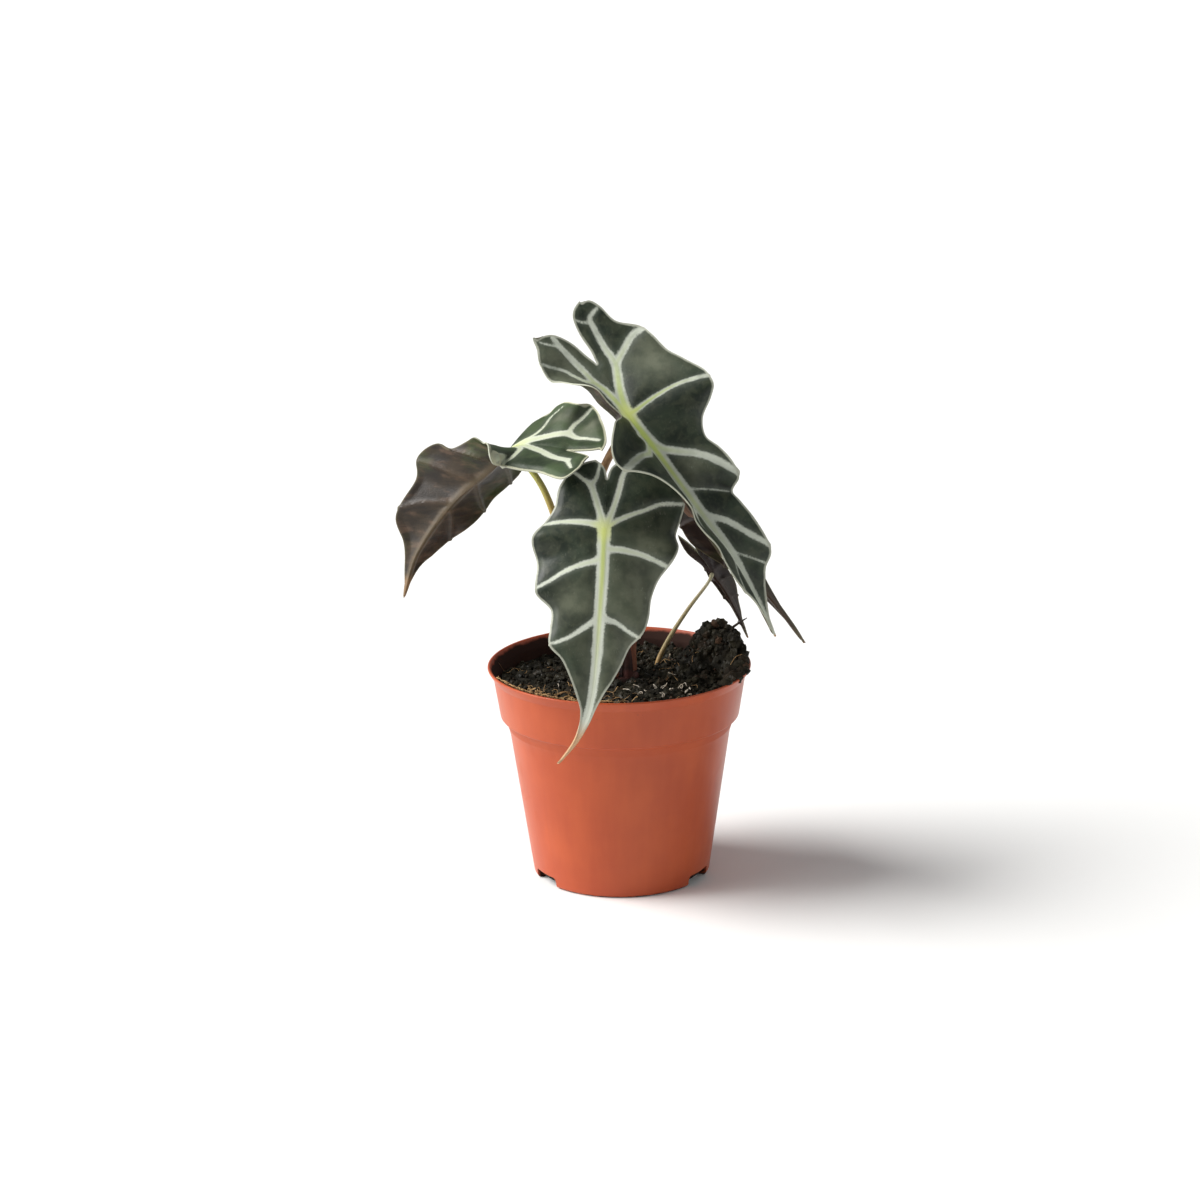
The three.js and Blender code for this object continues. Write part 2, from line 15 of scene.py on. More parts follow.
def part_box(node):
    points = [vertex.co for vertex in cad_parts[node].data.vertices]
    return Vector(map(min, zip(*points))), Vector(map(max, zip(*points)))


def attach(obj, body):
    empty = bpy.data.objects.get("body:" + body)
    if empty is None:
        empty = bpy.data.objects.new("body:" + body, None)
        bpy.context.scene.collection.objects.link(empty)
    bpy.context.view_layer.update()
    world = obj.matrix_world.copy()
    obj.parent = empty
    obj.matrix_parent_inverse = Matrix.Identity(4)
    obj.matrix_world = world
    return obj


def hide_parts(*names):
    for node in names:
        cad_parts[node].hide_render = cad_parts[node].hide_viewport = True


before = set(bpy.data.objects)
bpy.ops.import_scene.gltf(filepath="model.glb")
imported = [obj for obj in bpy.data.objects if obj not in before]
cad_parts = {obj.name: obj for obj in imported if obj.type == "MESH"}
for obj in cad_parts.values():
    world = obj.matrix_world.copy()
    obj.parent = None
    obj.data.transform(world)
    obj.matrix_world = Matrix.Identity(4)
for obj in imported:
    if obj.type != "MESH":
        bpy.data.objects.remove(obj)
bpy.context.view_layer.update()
MM = 0.001

# %% [markdown]
# ## The camera
# The photo looks down on the pot by 16 degrees and is rolled by less than one. The rim is a circle
# of known width, so its width in pixels gives the distance, and where its middle falls gives the
# aim. A 100 mm lens is assumed: the pot fits any long lens equally well.

# %% Camera
LENS = 100
FILM_WIDTH = 36
PHOTO_SIDE = 1200
ELEVATION = math.radians(16.1)
ROLL = math.radians(0.845)
RIM_WIDTH_PX = 264
RIM_MIDDLE_PX = (619.2, 662.9)

_, pot_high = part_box("pot")
rim_radius = pot_high.x
rim_middle = Vector((0, 0, pot_high.z))
focal_px = LENS / FILM_WIDTH * PHOTO_SIDE
distance = focal_px * 2 * rim_radius / RIM_WIDTH_PX
ahead = Vector((0, math.cos(ELEVATION), -math.sin(ELEVATION)))
level = Vector((1, 0, 0))
upright = Vector((0, math.sin(ELEVATION), math.cos(ELEVATION)))
right = level * math.cos(ROLL) - upright * math.sin(ROLL)
top = level * math.sin(ROLL) + upright * math.cos(ROLL)
across = (RIM_MIDDLE_PX[0] - PHOTO_SIDE / 2) / focal_px
down = (RIM_MIDDLE_PX[1] - PHOTO_SIDE / 2) / focal_px
eye = rim_middle - distance * (ahead + right * across - top * down)

bpy.ops.object.camera_add()
camera = bpy.context.object
camera.data.lens = LENS
camera.data.sensor_width = FILM_WIDTH
axes = Matrix((right, top, -ahead)).transposed().to_4x4()
camera.matrix_world = Matrix.Translation(eye) @ axes
bpy.context.scene.camera = camera
print("camera", round(distance, 3), "m from the rim")

# %% [markdown]
# ## A bench of small tools
# Shader maths reads best as sums, so a socket is wrapped in a class that adds its Math nodes when
# Python adds, multiplies or subtracts. Every other node comes from one method, add. Colours are
# given as on a paint card and turned into linear light, and a surface's colour is built up as a
# painter would: a ground, and then coats, each with a share that varies over the surface.

# %% Shader sums
class Value:
    """A shader socket that takes part in Python sums."""

    def __init__(self, finish, socket):
        self.finish = finish
        self.socket = socket

    def __add__(self, other):
        return self.finish.maths("ADD", self, other)

    __radd__ = __add__

    def __sub__(self, other):
        return self.finish.maths("SUBTRACT", self, other)

    def __rsub__(self, other):
        return self.finish.maths("SUBTRACT", other, self)

    def __mul__(self, other):
        return self.finish.maths("MULTIPLY", self, other)

    __rmul__ = __mul__


def paint(card):
    """A colour card such as "36402f" as linear light."""
    steps = [int(card[i:i + 2], 16) / 255 for i in (0, 2, 4)]
    return (*[c / 12.92 if c <= 0.04045 else ((c + 0.055) / 1.055) ** 2.4 for c in steps], 1)


class Finish:
    """A material in the making: its Principled shader and the nodes that vary it."""

    COLOUR_A, COLOUR_B, COLOUR_OUT = 6, 7, 2

    def __init__(self, name, **constants):
        self.material = bpy.data.materials.new(name)
        self.material.use_nodes = True
        self.tree = self.material.node_tree
        self.shader = self.tree.nodes["Principled BSDF"]
        self.place = self.add("ShaderNodeTexCoord", output="Object")
        for words, value in constants.items():
            self.shader.inputs[words.replace("_", " ")].default_value = value

    def add(self, kind, settings=None, inputs=None, output=0):
        node = self.tree.nodes.new(kind)
        for name, value in (settings or {}).items():
            setattr(node, name, value)
        for name, value in (inputs or {}).items():
            self.feed(node.inputs[name], value)
        return Value(self, node.outputs[output])

    def feed(self, socket, value):
        if isinstance(value, Value):
            self.tree.links.new(value.socket, socket)
        else:
            socket.default_value = paint(value) if isinstance(value, str) else value

    def maths(self, operation, *values):
        return self.add("ShaderNodeMath", {"operation": operation}, dict(enumerate(values)))

    def attribute(self, name):
        return self.add("ShaderNodeAttribute", {"attribute_name": name}, output="Fac")

    def grain(self, size, detail=2, **more):
        """Soft noise from 0 to 1, in lumps of about the given size in metres."""
        inputs = {"Vector": self.place, "Scale": 1 / size, "Detail": detail, **more}
        return self.add("ShaderNodeTexNoise", inputs=inputs)

    def streaks(self, size, detail, squeeze, turn=(0, 0, 0)):
        """Noise that is drawn out along the axes whose squeeze is small."""
        inputs = {"Vector": self.place, "Rotation": turn, "Scale": squeeze}
        drawn_out = self.add("ShaderNodeMapping", inputs=inputs)
        inputs = {"Vector": drawn_out, "Scale": 1 / size, "Detail": detail}
        return self.add("ShaderNodeTexNoise", inputs=inputs)

    def cells(self, size):
        inputs = {"Vector": self.place, "Scale": 1 / size}
        return self.add("ShaderNodeTexVoronoi", inputs=inputs)

    def height(self):
        return self.add("ShaderNodeSeparateXYZ", inputs={0: self.place}, output="Z")

    def rise(self, value, low, high):
        """0 below low, 1 above high, and a smooth rise between them."""
        inputs = {"Value": value, "From Min": low, "From Max": high}
        return self.add("ShaderNodeMapRange", {"interpolation_type": "SMOOTHSTEP"}, inputs)

    def fall(self, value, low, high):
        return 1 - self.rise(value, low, high)

    def mix(self, share, first, second):
        inputs = {0: share, self.COLOUR_A: first, self.COLOUR_B: second}
        return self.add("ShaderNodeMix", {"data_type": "RGBA"}, inputs, self.COLOUR_OUT)

    def coats(self, colour, *layers):
        """Lays coats over a colour. Each is its share and its paint."""
        for share, coat in layers:
            colour = self.mix(share, colour, coat)
        return colour

    def finish(self, colour, roughness, height=None, depth=0.0002, strength=1.0):
        self.feed(self.shader.inputs["Base Color"], colour)
        self.feed(self.shader.inputs["Roughness"], roughness)
        if height is not None:
            inputs = {"Height": height, "Distance": depth, "Strength": strength}
            bump = self.add("ShaderNodeBump", inputs=inputs, output="Normal")
            self.feed(self.shader.inputs["Normal"], bump)
        print("finish", self.material.name, len(self.tree.nodes), "nodes")
        return self.material


# %% [markdown]
# ## Tools for meshes
# The same few moves come back with every piece: choose it, edit it, change it with a modifier, read
# and move its points, and note numbers on them for its finish. A finished piece is handed over with
# its name, its finishes and the solid whose place it takes.

# %% Bench tools for meshes
def deselect():
    if bpy.context.object and bpy.context.object.mode == "EDIT":
        bpy.ops.object.mode_set(mode="OBJECT")
    bpy.ops.object.select_all(action="DESELECT")


def select_only(piece):
    deselect()
    piece.select_set(True)
    bpy.context.view_layer.objects.active = piece


def edit():
    """Opens the active piece for editing, with everything in it selected."""
    bpy.ops.object.mode_set(mode="EDIT")
    bpy.ops.mesh.select_all(action="SELECT")


def end_edit():
    bpy.ops.object.mode_set(mode="OBJECT")


def join(pieces):
    """Joins the pieces into the first of them."""
    deselect()
    for piece in pieces:
        piece.select_set(True)
    bpy.context.view_layer.objects.active = pieces[0]
    bpy.ops.object.join()
    return pieces[0]


def apply(piece, kind, **settings):
    """Adds a modifier to the piece and applies it."""
    select_only(piece)
    modifier = piece.modifiers.new(kind.title(), kind)
    for name, value in settings.items():
        setattr(modifier, name, value)
    bpy.ops.object.modifier_apply(modifier=modifier.name)


def points_of(piece):
    return read(piece.data.vertices, "co", 3)


def read(items, name, width):
    values = np.zeros(len(items) * width, np.float32)
    items.foreach_get(name, values)
    return values.reshape(-1, width).astype(float)


def selected_points(piece):
    """Which points are selected, as edit mode left them."""
    selected = np.zeros(len(piece.data.vertices), bool)
    piece.data.vertices.foreach_get("select", selected)
    return selected


def move_points(piece, points):
    piece.data.vertices.foreach_set("co", np.asarray(points, np.float32).ravel())
    piece.data.update()


def note(piece, name, values):
    """Stores a number for each point, for the piece's finish to read."""
    layer = piece.data.attributes.new(name, "FLOAT", "POINT")
    layer.data.foreach_set("value", np.asarray(values, np.float32).ravel())


def mesh_piece(name, points, faces):
    mesh = bpy.data.meshes.new(name)
    mesh.from_pydata(np.asarray(points).tolist(), [], np.asarray(faces).tolist())
    piece = bpy.data.objects.new(name, mesh)
    bpy.context.scene.collection.objects.link(piece)
    return piece


def hand_over(piece, name, materials, nodes=(), smooth_below=180):
    """Names a finished piece, gives it its materials and puts it in the plant."""
    piece.name = name
    piece.data.name = name
    for material in materials:
        piece.data.materials.append(material)
    select_only(piece)
    if smooth_below < 180:
        bpy.ops.object.shade_smooth_by_angle(angle=math.radians(smooth_below))
    else:
        bpy.ops.object.shade_smooth()
    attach(piece, "root")
    if nodes:
        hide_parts(*nodes)
    sides = sum(len(face.vertices) - 2 for face in piece.data.polygons)
    print(name, sides, "triangles")
    return piece


# %% [markdown]
# ## The pot
# A nursery pot is one thin shell of moulded plastic: a taper that flares out under a crease, a
# taller collar and a lip. It is made as a potter would throw it. A ring is extruded up the outside,
# over the lip and down the inside, scaled to the wall's radius at each height. The profile's
# corners are then rounded by a bevel, and three boxes cut the drain notches out of the foot.

# %% Pot profile
POT_SEGMENTS = 192
WALL = 1.4 * MM
FLOOR = 1.8 * MM
FOOT_RADIUS = 40.4 * MM
STEP = (50.6 * MM, 70.5 * MM)
FLARE = [(50 * MM, 66.5 * MM), (50.8 * MM, 70 * MM), (52 * MM, 72.8 * MM)]
CREASE = (53.4 * MM, 74.9 * MM)
COLLAR = (54.4 * MM, 75.5 * MM)
THROAT = (57.3 * MM, 93.7 * MM)
LIP_HEIGHT = pot_high.z
LIP_ROUNDING = 0.6 * MM
FOOT_ROUNDING = 1 * MM
NOTCHES = 3
NOTCH_SIZE = (16 * MM, 17 * MM, 10 * MM)

outside = [
    (FOOT_RADIUS, FOOT_ROUNDING),
    *FLARE,
    CREASE,
    COLLAR,
    THROAT,
    (rim_radius, LIP_HEIGHT - LIP_ROUNDING),
    (rim_radius - LIP_ROUNDING, LIP_HEIGHT),
]
inside = [
    (rim_radius - WALL, LIP_HEIGHT - LIP_ROUNDING / 2),
    (THROAT[0] - WALL, THROAT[1]),
    (COLLAR[0] - WALL, COLLAR[1]),
    (STEP[0] - WALL, STEP[1]),
    (FOOT_RADIUS - WALL, FLOOR),
]
print(len(outside) + len(inside), "rings in the pot's profile")


# %% [markdown]
# The rings are extruded one after another from the foot's disc, so the shell is one closed form.
# The boxes that cut the notches have rounded edges, as a mould leaves them.

# %% Throw the pot
def throw_pot():
    deselect()
    bpy.ops.mesh.primitive_circle_add(
        vertices=POT_SEGMENTS, radius=FOOT_RADIUS - FOOT_ROUNDING, fill_type="NGON")
    pot = bpy.context.object
    edit()
    radius, height = FOOT_RADIUS - FOOT_ROUNDING, 0
    for next_radius, next_height in outside + inside:
        rise = (0, 0, next_height - height)
        bpy.ops.mesh.extrude_region_move(TRANSFORM_OT_translate={"value": rise})
        share = next_radius / radius
        bpy.ops.transform.resize(value=(share, share, 1), center_override=(0, 0, next_height))
        radius, height = next_radius, next_height
    bpy.ops.mesh.select_all(action="SELECT")
    bpy.ops.mesh.normals_make_consistent(inside=False)
    end_edit()
    apply(pot, "BEVEL", width=0.7 * MM, segments=3, angle_limit=math.radians(18))
    return pot


def cut_notches(pot):
    for turn in range(NOTCHES):
        deselect()
        angle = math.pi / 2 + turn * math.tau / NOTCHES
        place = (FOOT_RADIUS * math.cos(angle), FOOT_RADIUS * math.sin(angle), 0)
        bpy.ops.mesh.primitive_cube_add(
            size=1, location=place, rotation=(0, 0, angle), scale=NOTCH_SIZE)
        cutter = bpy.context.object
        apply(cutter, "BEVEL", width=1.6 * MM, segments=3)
        apply(pot, "BOOLEAN", object=cutter, operation="DIFFERENCE", solver="EXACT")
        bpy.data.objects.remove(cutter)


def mark_inside(pot):
    """Tells the finish which points lie on the inside of the wall."""
    points = points_of(pot)
    radii, heights = np.array(outside).T
    outer = np.interp(points[:, 2], heights, radii)
    note(pot, "inside", np.hypot(points[:, 0], points[:, 1]) < outer - WALL / 2)


pot = throw_pot()
cut_notches(pot)
mark_inside(pot)
print("the pot stands", round(max(points_of(pot)[:, 2]) / MM, 1), "mm high")

# %% [markdown]
# ## The pot's plastic
# The plastic is an even terracotta orange with a satin skin. What keeps it from looking flat is
# slight: cloudy shade in the moulding, fine vertical flow lines, a grain that only the highlight
# shows, and a little peat dust, thickest near the lip. Painted shade makes the inside of the wall
# near black below the lip, and a little painted shade darkens the band under the collar's crease.

# %% Pot finish
def pot_finish():
    plastic = Finish("pot_plastic", IOR=1.46, Specular_IOR_Level=0.35)
    height = plastic.height()
    inside = plastic.attribute("inside")
    flow = plastic.streaks(4 * MM, 3, (1, 1, 0.06))
    cloud = plastic.grain(30 * MM, 3)
    shade = plastic.rise(0.75 * cloud + 0.25 * flow, 0.3, 0.72)
    specks = plastic.rise(plastic.grain(1.1 * MM, 4), 0.66, 0.74)
    drifts = plastic.rise(plastic.grain(14 * MM, 2), 0.42, 0.7)
    dust = specks * drifts * plastic.rise(height, 55 * MM, 96 * MM) * 0.55
    wavy = height + 3 * MM * (plastic.grain(6 * MM, 3) - 0.5)
    # painted shade: the inside of the wall goes near black below the lip, as in deep shade
    shaded_inside = inside * plastic.fall(wavy, 96.6 * MM, 98.2 * MM)
    smear = plastic.rise(plastic.grain(18 * MM, 5, Distortion=1.2), 0.55, 0.85)
    # painted shade: the band under the collar's crease is painted a little darker
    crease_shade = plastic.rise(height, 70 * MM, 71 * MM) * plastic.fall(height, 75 * MM, 75.4 * MM)
    crease_shade = crease_shade * (1 - inside)
    colour = plastic.coats(
        "a7492a",
        (shade, "b5542f"),
        (dust, "5a3a2b"),
        (shaded_inside * 0.95, "15110c"),
        (crease_shade * 0.06, "8a3a22"))
    roughness = 0.36 + 0.14 * smear + 0.3 * dust + 0.2 * crease_shade + 0.55 * shaded_inside
    skin = plastic.grain(0.5 * MM, 2) * 0.5 + flow * 0.5
    return plastic.finish(colour, roughness, skin, 0.04 * MM, 0.5)


hand_over(pot, "pot_shell", [pot_finish()], ["pot"], 35)

# %% [markdown]
# ## The blades, flat
# A leaf is easiest to describe flat. Lengths are shares of the leaf's length: s runs along the
# midrib from the stalk's joint, 0, to the drip tip, 1, and t runs out from it. Each row below is
# one rib, from its start beside the midrib to the left and to the right margin. A half rises from
# the flat at one angle beside the midrib and at another at its margin, so a blade can cup and curl.

# %% Rib rows
# start s, gap from the midrib, then for the left and the right half s, t,
# rise at the midrib and at the margin in degrees, and last the fullness between two veins
TOP_RIBS = [
    [-0.465, 0.108, -0.452, 0.111, 0, 0, -0.478, 0.113, 0, 10, 0],
    [-0.455, 0.072, -0.44, 0.138, 0, 0, -0.466, 0.122, 0, 8, 0.2],
    [-0.43, 0.045, -0.399, 0.152, 0, 0, -0.437, 0.137, 0, 15, 0.5],
    [-0.37, 0.022, -0.326, 0.158, 0, 0, -0.383, 0.178, 0, 30, 1],
    [-0.3, 0.012, -0.27, 0.215, 0, 0, -0.293, 0.191, 0, 30, 0],
    [-0.24, 0, -0.231, 0.232, 0, 5, -0.165, 0.19, 0, 75, 0.3],
    [-0.17, 0, -0.169, 0.25, 0, 0, -0.075, 0.22, 0, 128, 0.5],
    [-0.1, 0, -0.111, 0.285, 0, 0, -0.015, 0.215, 2, 138, 0.5],
    [-0.03, 0, -0.025, 0.325, 0, 0, 0.035, 0.18, 15, 135, 0.3],
    [0.02, 0, 0.064, 0.331, 0, 0, 0.06, 0.23, 48, 90, 0],
    [0.06, 0, 0.109, 0.298, 0, -10, 0.12, 0.28, 45, 75, 0.5],
    [0.09, 0, 0.16, 0.235, 0, -25, 0.18, 0.27, 48, 70, 0],
    [0.12, 0, 0.23, 0.2, 0, -25, 0.25, 0.225, 62, 88, 1],
    [0.16, 0, 0.3, 0.21, 0, -10, 0.32, 0.21, 72, 95, 0.5],
    [0.2, 0, 0.38, 0.215, 0, 10, 0.4, 0.21, 78, 95, 0],
    [0.26, 0, 0.43, 0.2, 0, 5, 0.45, 0.2, 72, 92, 0.5],
    [0.31, 0, 0.46, 0.155, 0, -25, 0.5, 0.185, 72, 90, 1],
    [0.37, 0, 0.52, 0.15, 0, -10, 0.56, 0.18, 74, 90, 0.5],
    [0.44, 0, 0.6, 0.148, 0, 0, 0.62, 0.16, 70, 84, 0],
    [0.52, 0, 0.7, 0.135, 0, 5, 0.7, 0.118, 66, 80, 0],
    [0.6, 0, 0.748, 0.087, 0, -5, 0.765, 0.082, 66, 80, 1],
    [0.7, 0, 0.793, 0.062, 5, 0, 0.83, 0.048, 70, 85, 0.5],
    [0.82, 0, 0.86, 0.045, 10, 10, 0.89, 0.026, 75, 88, 0],
    [0.92, 0, 0.94, 0.018, 10, 10, 0.95, 0.012, 75, 85, 0],
    [1, 0, 1, 0, 0, 0, 1, 0, 0, 0, 0],
]
FRONT_RIBS = [
    [-0.3, 0.05, -0.3, 0.05, 0, 0, -0.3, 0.055, 0, 0, 0],
    [-0.27, 0.015, -0.3, 0.12, 0, 0, -0.285, 0.1, 0, 0, 0.5],
    [-0.22, 0, -0.28, 0.21, 0, -10, -0.255, 0.15, 0, -10, 0],
    [-0.17, 0, -0.24, 0.28, 0, -15, -0.21, 0.18, 0, -10, 0],
    [-0.12, 0, -0.18, 0.33, 0, -20, -0.17, 0.2, 0, -15, 0],
    [-0.07, 0, -0.1, 0.33, -5, -30, -0.1, 0.215, 0, -25, 1],
    [-0.02, 0, -0.02, 0.315, -5, -35, -0.03, 0.25, 0, -20, 0.5],
    [0.02, 0, 0.045, 0.315, -5, -20, 0.04, 0.295, 0, -10, 0],
    [0.05, 0, 0.1, 0.295, -5, -15, 0.12, 0.285, 0, -30, 1],
    [0.09, 0, 0.18, 0.25, -5, -35, 0.175, 0.275, 0, -25, 0.5],
    [0.14, 0, 0.27, 0.215, -5, -30, 0.25, 0.272, 0, -10, 0],
    [0.2, 0, 0.36, 0.2, -5, -10, 0.29, 0.262, 0, -10, 0],
    [0.25, 0, 0.42, 0.18, 0, -10, 0.345, 0.205, 5, -25, 1],
    [0.3, 0, 0.48, 0.135, 0, -30, 0.42, 0.2, 5, -20, 0.5],
    [0.36, 0, 0.56, 0.1, 5, -15, 0.495, 0.195, 5, 0, 0],
    [0.43, 0, 0.622, 0.071, 5, 0, 0.546, 0.144, 10, 5, 1],
    [0.52, 0, 0.677, 0.045, 10, 5, 0.614, 0.104, 10, 5, 0.5],
    [0.62, 0, 0.741, 0.026, 10, 10, 0.692, 0.065, 10, 10, 0],
    [0.72, 0, 0.81, 0.019, 10, 10, 0.762, 0.03, 10, 10, 0],
    [0.84, 0, 0.883, 0.012, 10, 10, 0.868, 0.011, 10, 10, 0],
    [1, 0, 1, 0, 0, 0, 1, 0, 0, 0, 0],
]
SIDE_RIBS = [
    [-0.44, 0.04, -0.453, 0.092, 8, 5, -0.464, 0.028, 8, 10, 0],
    [-0.41, 0.025, -0.479, 0.172, 8, 0, -0.435, 0.108, 8, 12, 0.5],
    [-0.36, 0.012, -0.442, 0.248, 6, -8, -0.33, 0.23, 8, 16, 0],
    [-0.29, 0, -0.287, 0.208, 6, -12, -0.177, 0.349, 8, 4, 1],
    [-0.18, 0, -0.177, 0.218, 5, -6, -0.147, 0.294, 10, 18, 0],
    [-0.08, 0, -0.051, 0.207, 10, -8, -0.013, 0.343, 10, 0, 1],
    [0, 0, -0.076, 0.291, 12, 25, 0.004, 0.236, 10, 5, 0],
    [0.08, 0, 0.077, 0.123, 15, 60, 0.18, 0.205, 18, 12, 1],
    [0.12, 0, 0.129, 0.164, 25, 75, 0.24, 0.215, 22, 16, 0.5],
    [0.18, 0, 0.308, 0.189, 26, 58, 0.295, 0.22, 25, 20, 0],
    [0.25, 0, 0.356, 0.251, 34, 45, 0.37, 0.185, 18, 22, 1],
    [0.34, 0, 0.462, 0.273, 33, 49, 0.47, 0.195, 19, 24, 0],
    [0.44, 0, 0.537, 0.213, 40, 45, 0.58, 0.15, 14, 14, 1],
    [0.55, 0, 0.702, 0.18, 28, 32, 0.68, 0.125, 21, 30, 0],
    [0.68, 0, 0.786, 0.08, 32, 38, 0.78, 0.08, 24, 28, 0.5],
    [0.83, 0, 0.897, 0.04, 30, 30, 0.88, 0.04, 30, 30, 0],
    [1, 0, 1, 0, 0, 0, 1, 0, 0, 0, 0],
]
BACK_RIBS = [
    [-0.4, 0.08, -0.4, 0.08, 20, 20, -0.4, 0.08, 30, 30, 0],
    [-0.32, 0.03, -0.34, 0.11, 20, 30, -0.35, 0.13, 30, 40, 0],
    [-0.22, 0, -0.2, 0.12, 25, 35, -0.22, 0.17, 40, 50, 1],
    [-0.1, 0, -0.06, 0.13, 25, 35, -0.06, 0.22, 45, 60, 0],
    [0, 0, 0.08, 0.17, 20, 25, 0.08, 0.2, 50, 50, 1],
    [0.08, 0, 0.19, 0.18, 20, 25, 0.2, 0.22, 50, 65, 0],
    [0.16, 0, 0.28, 0.165, 25, 35, 0.32, 0.17, 50, 50, 1],
    [0.26, 0, 0.4, 0.13, 35, 50, 0.44, 0.18, 50, 65, 0],
    [0.38, 0, 0.5, 0.11, 45, 55, 0.52, 0.107, 50, 50, 1],
    [0.5, 0, 0.62, 0.08, 50, 60, 0.612, 0.056, 50, 60, 0],
    [0.68, 0, 0.755, 0.036, 50, 50, 0.755, 0.018, 50, 50, 0],
    [0.85, 0, 0.88, 0.014, 40, 40, 0.89, 0.012, 40, 40, 0],
    [1, 0, 1, 0, 0, 0, 1, 0, 0, 0, 0],
]
YOUNG_RIBS = [
    [-0.42, 0.09, -0.42, 0.09, 10, 10, -0.42, 0.09, 30, 30, 0],
    [-0.32, 0.03, -0.35, 0.13, 10, 15, -0.35, 0.13, 30, 40, 0],
    [-0.22, 0, -0.22, 0.16, 15, 20, -0.22, 0.16, 40, 50, 1],
    [-0.08, 0, -0.079, 0.089, 20, 25, -0.04, 0.2, 45, 60, 0],
    [0.06, 0, 0.049, 0.112, 20, 20, 0.14, 0.18, 50, 50, 1],
    [0.18, 0, 0.249, 0.107, 20, 30, 0.302, 0.183, 50, 65, 0],
    [0.34, 0, 0.382, 0.094, 25, 25, 0.442, 0.111, 50, 50, 1],
    [0.5, 0, 0.533, 0.057, 30, 35, 0.582, 0.073, 50, 60, 0],
    [0.68, 0, 0.714, 0.029, 20, 20, 0.718, 0.029, 30, 30, 0],
    [0.85, 0, 0.86, 0.018, 10, 10, 0.865, 0.018, 15, 15, 0],
    [1, 0, 1, 0, 0, 0, 1, 0, 0, 0, 0],
]
print(len(TOP_RIBS), "ribs in the largest blade")

# %% [markdown]
# ## Where the veins run
# The pale veins are what one sees first on this plant. Each is a route over the flat blade, with
# its half width in millimetres where it starts and where it ends. Positive t is the blade's left
# half. The two small leaves borrow the front leaf's veins, drawn narrower.

# %% Vein routes
TOP_VEINS = [
    (3, 2.4, [(0, 0), (0.1, 0.01), (0.2, 0.014), (0.35, 0.014), (0.5, 0.01)]),
    (2.4, 1, [(0.5, 0.01), (0.75, 0.004), (1, 0)]),
    (2.9, 2.2, [(0, 0), (-0.06, 0.012), (-0.13, 0.03), (-0.21, 0.06)]),
    (1.9, 0.7, [(-0.21, 0.06), (-0.28, 0.06), (-0.34, 0.073), (-0.39, 0.09), (-0.4, 0.12), (-0.4, 0.14)]),
    (1.8, 1.2, [(-0.21, 0.06), (-0.24, 0.12), (-0.26, 0.17), (-0.26, 0.23)]),
    (0.7, 0.4, [(-0.38, 0.08), (-0.4, 0.06), (-0.42, 0.05)]),
    (2.5, 1.1, [
        (0, 0), (-0.06, -0.01), (-0.13, -0.028), (-0.18, -0.05), (-0.26, -0.06), (-0.34, -0.064),
        (-0.39, -0.064), (-0.43, -0.06)]),
    (1.3, 0.8, [(-0.17, -0.05), (-0.2, -0.089), (-0.25, -0.106), (-0.3, -0.118), (-0.38, -0.172)]),
    (0.8, 0.5, [(-0.39, -0.064), (-0.42, -0.09), (-0.45, -0.107)]),
    (1.7, 1.2, [(0, 0), (0, 0.04), (-0.01, 0.12), (-0.01, 0.21), (0.01, 0.28), (0.03, 0.33)]),
    (2.3, 1.5, [
        (0.09, 0), (0.13, 0.015), (0.17, 0.03), (0.22, 0.077), (0.27, 0.13), (0.34, 0.175),
        (0.42, 0.21)]),
    (2.2, 1.4, [(0.14, 0), (0.17, -0.05), (0.17, -0.12), (0.18, -0.2), (0.19, -0.27)]),
    (0.45, 0.35, [(0.34, 0), (0.38, 0.06), (0.45, 0.14)]),
    (1.8, 1.2, [(0.43, 0), (0.47, 0.02), (0.53, 0.063), (0.61, 0.097), (0.7, 0.15)]),
    (1.6, 0.9, [(0.42, 0), (0.45, -0.06), (0.5, -0.12), (0.6, -0.17)]),
    (0.5, 0.35, [(0.62, 0), (0.68, 0.05), (0.74, 0.1)]),
    (0.7, 0.4, [(0.66, 0), (0.72, -0.06), (0.8, -0.09)]),
]
FRONT_VEINS = [
    (3.1, 2.5, [(0, 0), (0.25, 0), (0.5, 0)]),
    (2.5, 1.1, [(0.5, 0), (0.7, 0), (0.9, 0), (1, 0)]),
    (1.9, 1.5, [(0, 0), (-0.08, -0.025), (-0.17, -0.055), (-0.19, -0.064)]),
    (1.4, 0.5, [(-0.19, -0.064), (-0.205, -0.085), (-0.235, -0.125), (-0.25, -0.15)]),
    (1.3, 0.5, [(-0.19, -0.064), (-0.22, -0.045), (-0.27, -0.035), (-0.3, -0.03)]),
    (1.7, 1.1, [(0, 0), (-0.07, 0.025), (-0.15, 0.047), (-0.24, 0.065), (-0.3, 0.1)]),
    (2, 0.6, [(-0.02, 0), (-0.025, -0.045), (-0.03, -0.105), (-0.03, -0.18), (-0.02, -0.24), (0, -0.3)]),
    (1.8, 0.7, [(0.12, 0), (0.135, -0.04), (0.15, -0.09), (0.18, -0.155), (0.22, -0.21), (0.26, -0.27)]),
    (1.8, 0.6, [(0.37, 0), (0.385, -0.03), (0.42, -0.072), (0.46, -0.13), (0.49, -0.2)]),
    (1.4, 0.8, [(0, 0), (-0.02, 0.02), (-0.06, 0.078), (-0.1, 0.16), (-0.135, 0.23), (-0.15, 0.32)]),
    (2.1, 0.8, [(0.07, 0), (0.08, 0.03), (0.08, 0.074), (0.09, 0.144), (0.11, 0.215), (0.14, 0.3)]),
    (1.9, 0.6, [(0.35, 0), (0.37, 0.03), (0.38, 0.068), (0.41, 0.12), (0.44, 0.18)]),
]
